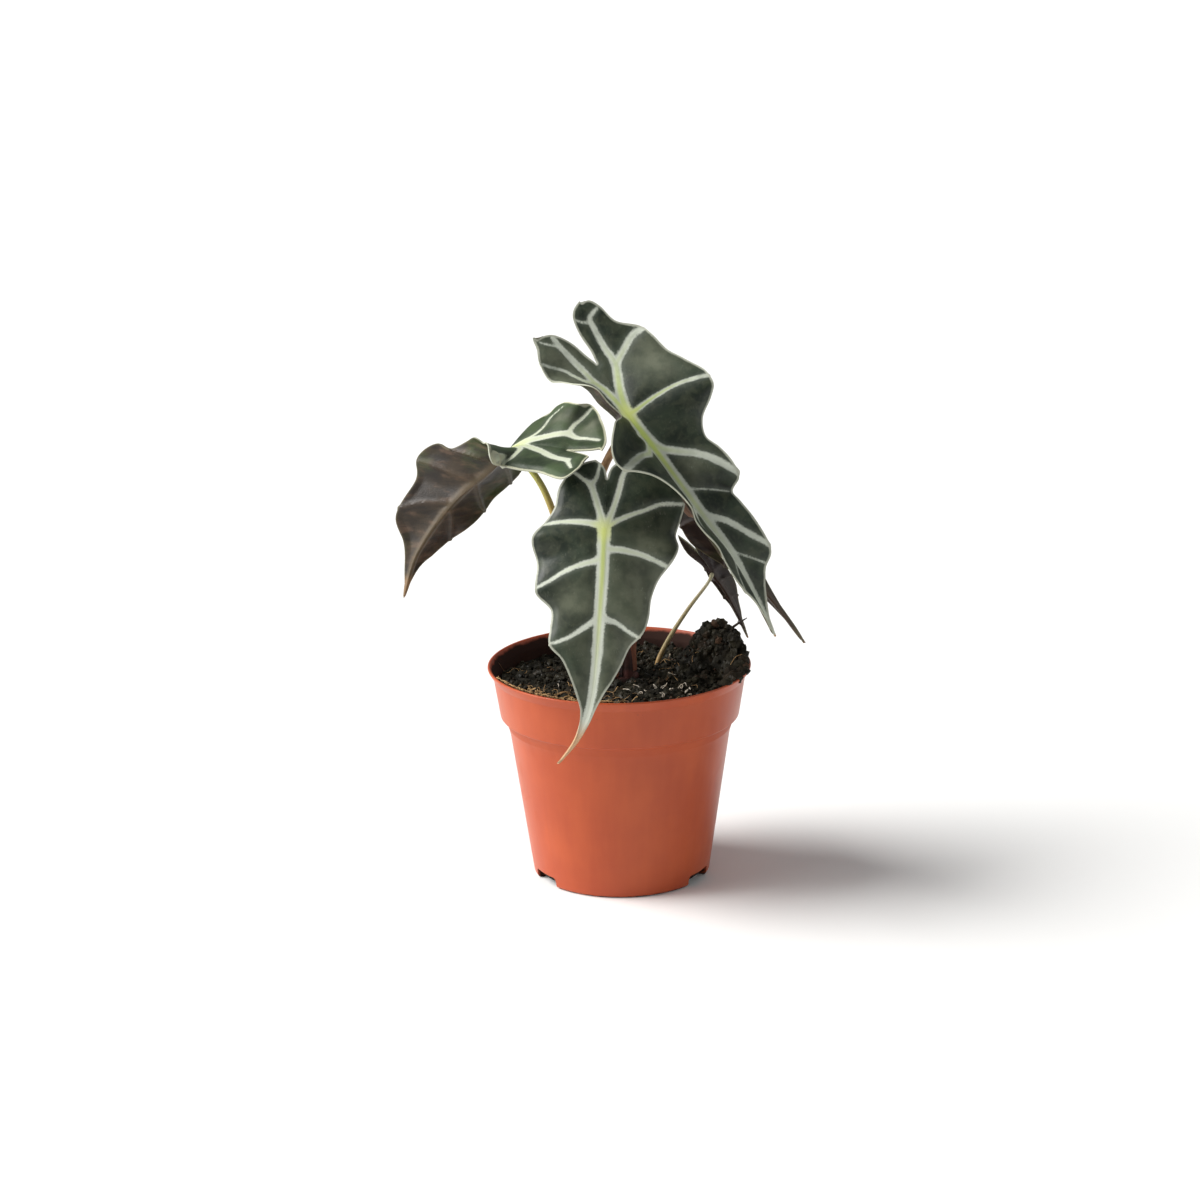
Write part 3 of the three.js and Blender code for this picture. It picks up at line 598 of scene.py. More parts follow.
SIDE_VEINS = [
    (2.4, 1.8, [(0, 0), (0.2, 0), (0.5, 0)]),
    (1.8, 0.9, [(0.5, 0), (0.75, 0), (1, 0)]),
    (2.5, 2, [(0, 0), (-0.05, -0.035), (-0.09, -0.052), (-0.15, -0.084), (-0.21, -0.114)]),
    (1.3, 0.8, [(-0.21, -0.114), (-0.2, -0.173), (-0.2, -0.243), (-0.19, -0.325)]),
    (1.8, 0.9, [(-0.21, -0.114), (-0.26, -0.101), (-0.32, -0.101), (-0.4, -0.097)]),
    (1, 0.6, [(0, -0.02), (-0.05, -0.078), (-0.06, -0.144), (-0.05, -0.221), (-0.07, -0.29)]),
    (2.4, 1.6, [(0, 0), (-0.03, 0.005), (-0.07, 0.019), (-0.17, 0.047), (-0.27, 0.081), (-0.36, 0.094)]),
    (1.3, 0.8, [(-0.36, 0.094), (-0.39, 0.125), (-0.43, 0.16)]),
    (1.6, 0.8, [(0, 0.02), (-0.06, 0.058), (-0.07, 0.135), (-0.06, 0.187), (-0.08, 0.27)]),
    (1.3, 0.7, [(0.15, 0), (0.2, 0.08), (0.3, 0.17)]),
    (1.5, 0.8, [(0.3, 0), (0.38, 0.1), (0.47, 0.26)]),
    (1.3, 0.7, [(0.48, 0), (0.57, 0.1), (0.68, 0.2)]),
    (1.5, 0.8, [(0.14, 0), (0.2, -0.1), (0.29, -0.22)]),
    (1.5, 0.8, [(0.32, 0), (0.4, -0.1), (0.47, -0.2)]),
    (1.2, 0.7, [(0.5, 0), (0.58, -0.07), (0.67, -0.13)]),
]
print(len(TOP_VEINS) + len(FRONT_VEINS) + len(SIDE_VEINS), "vein routes")

# %% [markdown]
# ## How the leaves stand
# Each midrib is a curve through a few stations: a point in millimetres, and the way that the upper
# side faces there. The stalk's points lead from the corm, or from the soil, to the joint, and the
# radii are its half widths at both ends.
#
# No two leaves have aged alike, so each also carries its looks: how green the upper side is
# (fresh), how dark the underside (dusk), how far its tip has dried in millimetres and how white its
# veins are at the joint and at the tip (frost). Each also carries where a painted sheen lies on it:
# paler patches that stand in for the satin light. A patch of painted sheen is s, t and its reach.

# %% Leaves
CORM_TOP = 94.3
leaves = [
    {
        "name": "top", "ribs": TOP_RIBS, "veins": TOP_VEINS, "joint": 2, "lobe_reach": 1,
        "spine": [
            [-26, 5, 257, 0, -0.9, 0.45], [-9, -3, 239, 0, -0.9, 0.45],
            [5, -22, 219, 0, -0.9, 0.45], [19, -32, 199.6, 0, -0.95, 0.3],
            [36, -38, 177, 0, -0.96, 0.25], [51, -40, 157, 0, -0.96, 0.25],
            [69, -38, 121.5, 0, -0.98, 0.2],
        ],
        "stalk": [[-6.6, 0.6, CORM_TOP], [-6.6, 0.6, 100], [-9, -8, 150], [-7, -15, 190]],
        "radii": (2.4, 1.7), "stalk_paint": ("8f5a45", "c08a68", "cda97c"),
        "fresh": 0.15, "dusk": 0.6, "dry_tip": 1.5, "frost": (0.25, 1), "vein_width": 1,
        "painted_sheen": [(-0.15, 0.2, 0.1), (-0.33, -0.13, 0.12), (-0.2, -0.12, 0.1), (0.3, 0.1, 0.06)],
    },
    {
        "name": "front", "ribs": FRONT_RIBS, "veins": FRONT_VEINS, "joint": 1, "lobe_reach": 1,
        "spine": [
            [-4, -26, 197, 0, -0.85, 0.5], [-6, -42, 172.4, 0, -0.9, 0.45],
            [-8, -56, 144.6, 0, -0.92, 0.4], [-12, -68, 107.5, 0, -0.96, 0.3],
            [-18.2, -72, 88.4, 0, -0.98, 0.2], [-27.6, -74, 75.9, 0, -0.98, 0.2],
        ],
        "stalk": [[-3.3, -5.7, CORM_TOP], [-3.3, -5.7, 100], [-2, -17, 130], [-3, -28, 158]],
        "radii": (2.4, 1.7), "stalk_paint": ("8f5a45", "a5825a", "b5aa66"),
        "fresh": 0.15, "dusk": 0, "dry_tip": 24, "frost": (0.9, 1), "vein_width": 1,
        "painted_sheen": [
            (0.26, 0.17, 0.2), (0.5, 0.12, 0.19), (0.66, 0.05, 0.15), (0.06, 0.2, 0.1),
            (0.3, -0.1, 0.08)],
    },
    {
        "name": "side", "ribs": SIDE_RIBS, "veins": SIDE_VEINS, "joint": 1, "lobe_reach": 1,
        "spine": [
            [-21, -14, 201.2, 0, -0.3, 0.95], [-44, 4, 199.6, 0, -0.3, 0.95],
            [-57, 14, 186, -0.23, 0.8, 0.59], [-74.6, 22, 169, -0.2, 0.95, 0.2],
            [-91.3, 26, 145, -0.1, 0.97, 0.1], [-98.3, 24, 124.4, 0, 0.97, 0],
        ],
        "stalk": [[-2.8, 6, CORM_TOP], [-2.8, 6, 100], [-19.5, 5, 140], [-33, 3, 180]],
        "radii": (2.2, 1.4), "stalk_paint": ("8f5f45", "b38a52", "a9ad58"),
        "fresh": 0.9, "dusk": 0, "dry_tip": 12, "frost": (0.9, 0.9), "vein_width": 1,
        "painted_sheen": [(-0.13, -0.2, 0.05), (-0.3, -0.18, 0.06)],
    },
    {
        "name": "back", "ribs": BACK_RIBS, "veins": FRONT_VEINS, "joint": 1, "lobe_reach": 1,
        "spine": [
            [24, -8, 188, 0.1, 0.9, 0.4], [34.5, -4, 173, 0.1, 0.9, 0.4],
            [52, 0, 148, 0, 0.95, 0.2], [70, 4, 126, 0, 0.97, 0.1],
            [84.7, 6, 105, 0, 0.97, 0.1],
        ],
        "stalk": [[5.4, 3.8, CORM_TOP], [5.4, 3.8, 100], [9, 0, 135], [15, -6, 165], [24, -9, 178]],
        "radii": (2.1, 1.3), "stalk_paint": ("8f5a45", "8a6650", "7d5f4c"),
        "fresh": 0.4, "dusk": 0.6, "dry_tip": 1.5, "frost": (0.5, 0.5), "vein_width": 0.75,
        "painted_sheen": [(0.2, 0.1, 0.12)],
    },
    {
        "name": "low", "ribs": YOUNG_RIBS, "veins": FRONT_VEINS, "joint": 1, "lobe_reach": 1.5,
        "spine": [
            [38, 19, 143, 0.3, 0.9, 0.3], [43.5, 20, 135, 0.3, 0.9, 0.3],
            [51.4, 22, 122.2, 0.2, 0.95, 0.2], [59.8, 27, 102, 0.2, 0.95, 0.2],
        ],
        "stalk": [[17.8, 18.5, 82], [17.8, 18.5, 92], [22.5, 18.5, 103], [32, 17.5, 118.5]],
        "radii": (1.3, 0.65), "stalk_paint": ("b0854c", "a89a70", "b5ae8e"),
        "fresh": 0.4, "dusk": 1, "dry_tip": 2, "frost": (0.5, 0.5), "vein_width": 0.45,
        "painted_sheen": [(0.2, 0.1, 0.12)],
    },
]
print(len(leaves), "leaves")

# %% [markdown]
# ## From flat to space
# A smooth curve through rows of numbers (Catmull-Rom) gives the values between them. The midrib is
# sampled closely, and each sample keeps its direction and its upper side. A rib bends in an arc
# from its first rise to its last, so the blade keeps its true width wherever it curls.

# %% Blade maths
STATION_SAMPLES = 40
SMALLEST_BEND = 1e-4


def between_rows(rows, places):
    rows = np.asarray(rows, float)
    index = np.minimum(np.floor(places).astype(int), len(rows) - 2)
    f = (places - index)[:, None]
    a = rows[index]
    b = rows[index + 1]
    slope_a = (b - rows[np.maximum(index - 1, 0)]) / 2
    slope_b = (rows[np.minimum(index + 2, len(rows) - 1)] - a) / 2
    cubic = (2 * a - 2 * b + slope_a + slope_b) * f ** 3
    return cubic + (3 * b - 3 * a - 2 * slope_a - slope_b) * f ** 2 + slope_a * f + a


def unit(vectors):
    return vectors / np.linalg.norm(vectors, axis=-1, keepdims=True)


class Midrib:
    """A leaf's midrib in millimetres, with its frame at each share s of the leaf's length."""

    def __init__(self, spine, joint):
        count = STATION_SAMPLES * (len(spine) - 1)
        rows = between_rows(spine, np.arange(count + 1) / STATION_SAMPLES)
        self.at = rows[:, :3]
        steps = np.linalg.norm(np.diff(self.at, axis=0), axis=1)
        travelled = np.concatenate([[0], np.cumsum(steps)])
        number = np.arange(count + 1)
        ahead_of = self.at[np.minimum(number + 1, count)]
        self.along = unit(ahead_of - self.at[np.maximum(number - 1, 0)])
        lean = (rows[:, 3:] * self.along).sum(1, keepdims=True)
        self.up = unit(rows[:, 3:] - lean * self.along)
        start = travelled[joint * STATION_SAMPLES]
        self.length = travelled[-1] - start
        self.s = (travelled - start) / self.length

    def frame(self, s):
        after = np.clip(np.searchsorted(self.s, s, side="right"), 1, len(self.s) - 1)
        before = after - 1
        share = np.minimum((s - self.s[before]) / (self.s[after] - self.s[before]), 1)
        inner = np.maximum(share, 0)[:, None]
        along = unit(self.along[before] * (1 - inner) + self.along[after] * inner)
        up = unit(self.up[before] * (1 - inner) + self.up[after] * inner)
        at = self.at[before] * (1 - inner) + self.at[after] * inner
        past = np.where(share < 0, (s - self.s[before]) * self.length, 0)[:, None]
        return at + along * past, along, up

    def place(self, s, t, side, rise, margin_rise, margin):
        at, along, up = self.frame(s)
        rise = np.radians(rise)
        turning = np.radians(margin_rise) - rise
        turning = np.where(turning == 0, SMALLEST_BEND, turning)
        bend = turning / np.maximum(margin, SMALLEST_BEND)
        outward = np.cross(up, along) * side
        turn = rise + bend * t
        out = (np.sin(turn) - np.sin(rise)) / bend * self.length
        high = (np.cos(rise) - np.cos(turn)) / bend * self.length
        return at + outward * out[:, None] + up * high[:, None]


for leaf in leaves:
    leaf["midrib"] = Midrib(leaf["spine"], leaf["joint"])
    print("leaf", leaf["name"], "is", round(leaf["midrib"].length, 1), "mm from joint to tip")

# %% [markdown]
# ## Leaf finishes
# The upper side is a nearly black green with a soft satin light on it. Its veins are silver with
# feathered edges, and the midrib has a yellow-green core that is strongest round the joint. A pale
# line follows the margin, and the last of the tip is dry. The underside is brown purple with olive
# veins. All of it reads numbers that the points will carry: how far they lie from a vein, from the
# margin and from the joint, and the looks of their leaf.

# %% Leaf finishes
def dry_tip(leaf):
    return leaf.fall(leaf.attribute("tip_gap"), 0.55, 1)


def upper_finish():
    leaf = Finish("leaf_upper", IOR=1.4)
    edge, core, rib, margin, joint, fresh, frost, painted_sheen = (leaf.attribute(name) for name in (
        "vein_edge", "vein_core", "rib_core", "margin", "joint_gap", "fresh", "frost", "painted_sheen"))
    feather = leaf.grain(0.7 * MM, 4) - 0.5
    wander = leaf.grain(5 * MM, 2) - 0.5
    vein = leaf.fall(edge + 1.3 * feather + 0.8 * wander, -0.7, 0.4)
    line = leaf.fall(margin + 0.5 * feather + 0.6 * wander, 0.4, 1.25)

    cloud = leaf.rise(leaf.grain(13 * MM, 4), 0.35, 0.66)
    mottle = leaf.rise(leaf.grain(6 * MM, 5, Distortion=0.6), 0.45, 0.62)
    # painted sheen: paler patches of the blade where its satin light shows
    sheen_patch = painted_sheen * (0.5 + 0.5 * leaf.rise(leaf.grain(7 * MM, 4), 0.35, 0.65))
    fleck = leaf.rise(leaf.grain(1.7 * MM, 3), 0.5, 0.78)
    thread = leaf.rise(leaf.streaks(0.55 * MM, 2, (1, 1, 0.09), (0, 0.7, 0.3)), 0.62, 0.7)
    thread = thread * leaf.rise(leaf.grain(9 * MM, 2), 0.5, 0.62)
    halo = leaf.fall(edge + wander, 0, 2.2)
    lamina = leaf.coats(
        "111a14",
        (cloud, "2a3328"),
        (mottle * 0.5, "3e4133"),
        (fresh * (0.3 + 0.5 * cloud), "445733"),
        (sheen_patch * 0.9, "666a58"),
        (fleck * 0.2, "5a5f4c"),
        (thread * (0.15 + 0.35 * sheen_patch), "8b9080"),
        (halo * 0.34, "5b6257"))

    rib_stripe = leaf.fall(rib, 0.05, 0.6) * leaf.fall(joint, 12, 88)
    vein_stripe = leaf.fall(core, 0.1, 0.8) * leaf.fall(joint, 6, 42)
    heart = leaf.fall(joint, 1, 8)
    silver = leaf.coats(
        "9ca296",
        (leaf.rise(leaf.grain(4 * MM, 3), 0.3, 0.7), "b9beb2"),
        (frost * 0.8, "d3d8cb"),
        (fresh * 0.35, "cfd5b4"),
        (rib_stripe * 0.9, leaf.mix(frost, "b0c258", "c0cb7c")),
        (vein_stripe * (0.95 - 0.8 * frost), "b0c065"),
        (heart * (0.75 - 0.5 * fresh), "d8e084"))
    colour = leaf.coats(
        lamina,
        (vein, silver),
        (line * 0.9, leaf.mix(fresh, "aaada0", "c4c4a8")),
        (dry_tip(leaf) * 0.8, "b98c60"))

    roughness = 0.42 + 0.12 * cloud + 0.1 * vein
    groove = leaf.rise(core, 0.2, 0.5) - leaf.rise(core, 0.5, 0.8)
    skin = leaf.cells(0.9 * MM) * 0.3 + leaf.grain(2.2 * MM, 3) * 0.6 - 0.3 * groove * vein
    return leaf.finish(colour, roughness, skin, 0.15 * MM, 0.6)


def under_finish():
    leaf = Finish("leaf_under", IOR=1.4)
    core, rib, margin, dusk = (
        leaf.attribute(name) for name in ("vein_core", "rib_core", "margin", "dusk"))
    soft = 0.7 * (leaf.grain(1.6 * MM, 3) - 0.5)
    cloud = leaf.rise(leaf.grain(12 * MM, 4), 0.33, 0.68)
    green = leaf.rise(leaf.grain(22 * MM, 3), 0.42, 0.62) * leaf.fall(margin, 2, 18)
    streak = leaf.streaks(3.5 * MM, 4, (0.22, 0.6, 1), (0, 0.35, 0))
    colour = leaf.coats(
        "211911",
        (cloud, "382d1f"),
        (green * 0.75, "35401c"),
        (leaf.rise(streak, 0.5, 0.72) * 0.5, "67503f"),
        (leaf.rise(streak, 0.5, 0.34) * 0.7, "1c150f"),
        (leaf.fall(core + soft, 0.1, 2.2) * 0.22, "5f4c39"),
        (leaf.fall(rib + soft, 0.2, 2) * 0.5, "5f5138"),
        (dusk * 0.75, "24151a"),
        (leaf.fall(margin, 0.1, 0.8) * 0.4, "7d775a"),
        (dry_tip(leaf) * 0.7, "8a6a48"))
    skin = leaf.cells(0.8 * MM) * 0.3 + leaf.grain(2 * MM, 3) * 0.5 + streak * 1.2
    return leaf.finish(colour, 0.4 + 0.12 * cloud, skin, 0.2 * MM, 0.7)


def rim_finish():
    rim = Finish("leaf_rim", IOR=1.4)
    tone = rim.grain(3 * MM, 2)
    colour = rim.coats("8f9280", (tone, "b9bbaa"), (dry_tip(rim) * 0.8, "b98c60"))
    return rim.finish(colour, 0.5 + 0.1 * tone)


leaf_materials = [upper_finish(), under_finish(), rim_finish()]

# %% [markdown]
# ## One half of a blade at a time
# Each half is a grid primitive whose rows run along the ribs. Before the two are joined, every
# point is told how far it lies from the nearest vein's edge and core, from the margin and from the
# joint. The finish paints the veins from these numbers, and the modelling sinks them: between two
# veins the blade swells up by about a millimetre, like a quilt.

# %% Distances over the flat blade
CELL = 0.7
ROUTE_STEPS = 6
FILLET = 0.45
MIDRIB_ROUTES = 2
SWELL = 1.1
SWELL_REACH = 5
MARGIN_CALM = 4
TIP_TAPER = 0.5
TIP_START = 0.78
TIP_RUN = 0.16
BLADE_REACH = 1.4            # a blade, lobes and all, in lengths of its midrib
FAR = 4
NEAR_ZERO = 1e-9


def smooth_route(points):
    places = np.linspace(0, len(points) - 1, (len(points) - 1) * ROUTE_STEPS + 1)
    return between_rows(points, places)


def distance_to(points, route):
    """How far each point lies from a route, and the share of the route at its nearest place."""
    first = route[:-1]
    step = route[1:] - first
    length = np.maximum((step ** 2).sum(1), NEAR_ZERO)
    gap = np.full(len(points), np.inf)
    share = np.zeros(len(points))
    for i in range(len(first)):
        on = np.clip(((points - first[i]) @ step[i]) / length[i], 0, 1)
        away = np.linalg.norm(points - first[i] - on[:, None] * step[i], axis=1)
        nearer = away < gap
        gap[nearer] = away[nearer]
        share[nearer] = (i + on[nearer]) / len(first)
    return gap, share


def vein_map(flat, veins, length, width_share):
    """Millimetres past the veins' edge, half widths from the nearest core, and the rib's share.

    The distances are blended, so veins flow into each other with rounded corners."""
    blended = np.zeros(len(flat))
    core = np.full(len(flat), np.inf)
    rib = np.full(len(flat), np.inf)
    for number, (start_width, end_width, route) in enumerate(veins):
        away, share = distance_to(flat, smooth_route(route) * length)
        half_width = (start_width + (end_width - start_width) * share) * width_share
        blended += np.exp(np.clip((half_width - away) / FILLET, -60, 60))
        core = np.minimum(core, away / half_width)
        if number < MIDRIB_ROUTES:
            rib = np.minimum(rib, away / half_width)
    edge = -FILLET * np.log(np.maximum(blended, 1e-20))
    return edge, core, rib


def painted_sheen_at(leaf, shares):
    """The painted sheen on the blade, paler patches that stand in for its satin light: 1 in the middle of
    its patches, 0 far from them.
    """
    patches = np.array(leaf["painted_sheen"])
    away = [((shares - sheen_patch[:2]) ** 2).sum(1) / sheen_patch[2] ** 2 for sheen_patch in patches]
    return np.exp(-np.min(away, axis=0))


def margin_route(leaf, ribs, side):
    """The outline of one half: its outer margin and, along the notch, its inner edge."""
    outer = ribs[:, 2:4] if side > 0 else ribs[:, 6:8]
    notch = ribs[:, 1] > 1e-6
    inner = ribs[notch][::-1, :2]
    return np.concatenate([inner, outer]) * [1, side] * leaf["midrib"].length


print("a blade's cells are", CELL, "mm wide")


# %% [markdown]
# A half's rows follow its ribs from the midrib, or from the notch between the lobes, out to the
# margin. Its columns divide every rib evenly, and its end is narrowed into the drip tip.

# %% Shape a half
def stretch_lobe(leaf, s):
    return np.where(s < 0, s * leaf["lobe_reach"], s)


def half_blade(leaf, side):
    midrib = leaf["midrib"]
    widest = np.max(np.array(leaf["ribs"])[:, 3 if side > 0 else 7]) * midrib.length
    columns = round(widest / CELL)
    rows = round(BLADE_REACH * midrib.length / CELL)
    ribs = between_rows(leaf["ribs"], np.linspace(0, len(leaf["ribs"]) - 1, rows + 1))
    ribs[:, 1] = np.maximum(ribs[:, 1], 0)
    own = ribs[:, 2:6] if side > 0 else ribs[:, 6:10]
    own[:, 1] *= 1 - TIP_TAPER * np.clip((own[:, 0] - TIP_START) / TIP_RUN, 0, 1)
    end_s, end_t, rise, margin_rise = own.T
    share = np.linspace(0, 1, columns + 1)
    if side > 0:
        share = share[::-1]
    s = ribs[:, :1] + (end_s - ribs[:, 0])[:, None] * share
    t = ribs[:, 1:2] + (end_t - ribs[:, 1])[:, None] * share
    s = stretch_lobe(leaf, s)
    wide = np.ones(columns + 1)
    points = midrib.place(
        s.ravel(), t.ravel(), side, np.outer(rise, wide).ravel(),
        np.outer(margin_rise, wide).ravel(), np.outer(end_t, wide).ravel())
    grid = points.reshape(rows + 1, columns + 1, 3)

    flat = np.column_stack([s.ravel(), t.ravel() * side]) * midrib.length
    edge, core, rib = vein_map(flat, leaf["veins"], midrib.length, leaf["vein_width"])
    outline = ribs.copy()
    outline[:, [0, 2, 6]] = stretch_lobe(leaf, outline[:, [0, 2, 6]])
    margin, _ = distance_to(flat, margin_route(leaf, outline, side))

    swell = SWELL * (1 - np.exp(-np.maximum(edge, 0) / SWELL_REACH))
    near = np.clip(margin / MARGIN_CALM, 0, 1)
    calm = near ** 2 * (3 - 2 * near)
    normals = np.cross(np.gradient(grid, axis=1), np.gradient(grid, axis=0))
    normals /= np.maximum(np.linalg.norm(normals, axis=-1, keepdims=True), NEAR_ZERO)
    lift = (swell * calm).reshape(rows + 1, columns + 1, 1)
    shaped = (grid + normals * lift).reshape(-1, 3) * MM

    deselect()
    bpy.ops.mesh.primitive_grid_add(x_subdivisions=columns, y_subdivisions=rows, size=1)
    half = bpy.context.object
    if len(half.data.vertices) != len(shaped):
        raise ValueError("the grid has another number of points")
    move_points(half, shaped)
    shares = flat / midrib.length
    notes = {
        "vein_edge": edge,
        "vein_core": np.minimum(core, FAR),
        "rib_core": np.minimum(rib, FAR),
        "margin": margin,
        "joint_gap": np.linalg.norm(flat, axis=1),
        "tip_gap": np.linalg.norm(flat - [midrib.length, 0], axis=1) / leaf["dry_tip"],
        "painted_sheen": painted_sheen_at(leaf, shares),
        "frost": np.interp(shares[:, 0], (0, 1), leaf["frost"]),
        "fresh": np.full(len(flat), leaf["fresh"]),
        "dusk": np.full(len(flat), leaf["dusk"]),
    }
    for name, values in notes.items():
        note(half, name, values)
    return half


# %% [markdown]
# ## A whole blade
# The halves meet along the midrib, where their points merge. Solidify then gives the blade its
# thickness and its three surfaces: the dark upper side, the purple underside and the pale rim. Last,
# the veins are raised on the underside, the midrib most of all, as on the living leaf.

# %% Whole blades
BLADE_THICKNESS = 0.6 * MM
RIB_DEPTH = 1.1 * MM
VEIN_DEPTH = 0.55 * MM
RIDGE_REACH = 1.1
UNDER, RIM = 1, 2
WELD = 0.002 * MM


def whole_blade(leaf):
    halves = [half_blade(leaf, side) for side in (1, -1)]
    for half in halves:
        for material in leaf_materials:
            half.data.materials.append(material)
    blade = join(halves)
    edit()
    bpy.ops.mesh.remove_doubles(threshold=WELD)
    bpy.ops.mesh.dissolve_degenerate(threshold=WELD)
    end_edit()
    upper_points = len(blade.data.vertices)
    apply(blade, "SOLIDIFY", thickness=BLADE_THICKNESS, offset=0,
          material_offset=UNDER, material_offset_rim=RIM)
    raise_veins(blade, leaf, upper_points)
    return blade


def raise_veins(blade, leaf, upper_points):
    """Pushes the underside out along its veins. Solidify puts its points last."""
    points = points_of(blade)
    normals = read(blade.data.vertex_normals, "vector", 3)
    values = np.zeros(len(points), np.float32)
    blade.data.attributes["vein_core"].data.foreach_get("value", values)
    crown = np.clip(1 - values / RIDGE_REACH, 0, 1) ** 0.8
    blade.data.attributes["joint_gap"].data.foreach_get("value", values)
    thick = VEIN_DEPTH + (RIB_DEPTH - VEIN_DEPTH) * np.exp(-values / (0.5 * leaf["midrib"].length))
    lift = crown * thick
    lift[:upper_points] = 0
    move_points(blade, points + normals * lift[:, None])


for leaf in leaves:
    name = leaf["name"]
    hand_over(whole_blade(leaf), f"blade_{name}", [], [f"leaf_{name}"], 50)

# %% [markdown]
# ## The stalks
# A petiole is a round stem that narrows towards its leaf, widens into a sheath where it leaves the
# crown, and turns square to the blade at the joint. A curve with a bevel is the natural tool: its
# points follow the stem's route, and each carries the radius there. It is then made a mesh.

# %% Stalk tubes
STALK_STEPS = 60
STALK_SIDES = 5
CURVE_SAMPLES = 50
STALK_APPROACH = 6
JOINT_DEPTH = 2.05
JOINT_SWELL = 0.35
JOINT_SWELL_LENGTH = 3
JOINT_END = 0.6              # the last ring's radius, as a share of the stalk's upper one
SHEATH_SWELL = 0.8
SHEATH_LENGTH = 9
THICK_STALK = 2.4


def stem_curve(points, count):
    """Evenly spaced points on a centripetal Catmull-Rom curve."""
    points = np.asarray(points, float)
    ends = [2 * points[0] - points[1], *points, 2 * points[-1] - points[-2]]
    dense = []
    for p0, p1, p2, p3 in zip(ends[:-3], ends[1:-2], ends[2:-1], ends[3:]):
        d0, d1, d2 = (np.linalg.norm(b - a) ** 0.5 for a, b in ((p0, p1), (p1, p2), (p2, p3)))
        m1 = ((p1 - p0) / d0 - (p2 - p0) / (d0 + d1) + (p2 - p1) / d1) * d1
        m2 = ((p2 - p1) / d1 - (p3 - p1) / (d1 + d2) + (p3 - p2) / d2) * d1
        u = np.linspace(0, 1, CURVE_SAMPLES, endpoint=False)[:, None]
        blend = (2 * p1 - 2 * p2 + m1 + m2) * u ** 3 + (3 * p2 - 3 * p1 - 2 * m1 - m2) * u ** 2
        dense.append(blend + m1 * u + p1)
    dense = np.vstack([*dense, points[-1:]])
    travelled = np.concatenate([[0], np.cumsum(np.linalg.norm(np.diff(dense, axis=0), axis=1))])
    even = np.linspace(0, travelled[-1], count)
    return np.column_stack([np.interp(even, travelled, dense[:, i]) for i in range(3)]), travelled[-1]


def tubes(name, routes, resolution):
    """One piece of round tubes. A route is its points and its radii, in millimetres."""
    deselect()
    bpy.ops.curve.primitive_nurbs_path_add()
    piece = bpy.context.object
    curve = piece.data
    curve.splines.clear()
    curve.bevel_depth = MM
    curve.bevel_resolution = resolution
    curve.use_fill_caps = True
    for points, radii in routes:
        spline = curve.splines.new("POLY")
        spline.points.add(len(points) - 1)
        placed = np.column_stack([np.asarray(points) * MM, np.ones(len(points))])
        spline.points.foreach_set("co", placed.astype(np.float32).ravel())
        spline.points.foreach_set("radius", np.asarray(radii, np.float32))
    bpy.ops.object.convert(target="MESH")
    piece.name = name
    return piece


def stalk(leaf):
    at, _, up = leaf["midrib"].frame(np.zeros(1))
    end = at[0] - up[0] * JOINT_DEPTH
    approach = end - up[0] * STALK_APPROACH
    route, length = stem_curve([*leaf["stalk"], approach, end], STALK_STEPS)
    route = np.vstack([route, at[0]])
    share = np.minimum(np.arange(len(route)) / (STALK_STEPS - 1), 1)
    low, high = leaf["radii"]
    radii = low + (high - low) * share
    sheath = np.exp(-(share * length / SHEATH_LENGTH) ** 2)
    radii += SHEATH_SWELL * sheath * low / THICK_STALK
    radii += JOINT_SWELL * np.exp(-((1 - share) * length / JOINT_SWELL_LENGTH) ** 2)
    radii[-1] = high * JOINT_END
    piece = tubes(f"stem_{leaf['name']}", [(route, radii)], STALK_SIDES)
    points = points_of(piece) / MM
    nearest = ((points[:, None] - route[None]) ** 2).sum(2).argmin(1)
    note(piece, "climb", share[nearest])
    return piece


for leaf in leaves:
    leaf["stem"] = stalk(leaf)
    print("stem", leaf["name"], "has", len(leaf["stem"].data.vertices), "points")

# %% [markdown]
# ## Stalk finishes
# The stalks are tan to yellow-green and turn red-brown towards the crown, with fine streaks that
# run along them. Each gets its own three paints, for the base, the middle and the top.

# %% Stalk finishes
def stem_finish(name, paints):
    stem = Finish(name, IOR=1.42)
    climb = stem.attribute("climb")
    base, middle, high = paints
    streak = stem.streaks(0.8 * MM, 3, (1, 1, 0.12))
    dark = stem.rise(streak, 0.5, 0.72) * (1 - 0.5 * climb)
    fleck = stem.rise(stem.grain(1.5 * MM, 2), 0.62, 0.8)
    colour = stem.coats(
        base,
        (stem.rise(climb, 0.02, 0.4), middle),
        (stem.rise(climb, 0.55, 0.98), high),
        (dark * 0.4, "6b4634"),
        (fleck * 0.3, "cdbb8c"))
    return stem.finish(colour, 0.38 + 0.15 * streak, streak, 0.08 * MM, 0.5)


for leaf in leaves:
    name = leaf["name"]
    finish = stem_finish(f"stem_{name}_skin", leaf["stalk_paint"])
    hand_over(leaf["stem"], f"stem_{name}", [finish], [f"stalk_{name}"], 60)

# %% [markdown]
# ## The corm and its bud
# The corm is the thick stem under the soil. Only its crown shows: a knob with the ring scars of old
# leaves, and beside the stalks a young leaf, still rolled up in its sheath. The knob is a cylinder,
# cut into rings that are pinched and swollen in turn. The bud is drawn up in rings to a soft point.

# %% Corm
CORM_SEGMENTS = 48
CORM_RINGS = 34
RINGS_PER_SCAR = 3
CORM_SINK = 0.3 * MM
BUD = (3.7, -5.3)
BUD_TOP = 109
BUD_RADIUS = 2.5
corm_low, corm_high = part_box("corm")


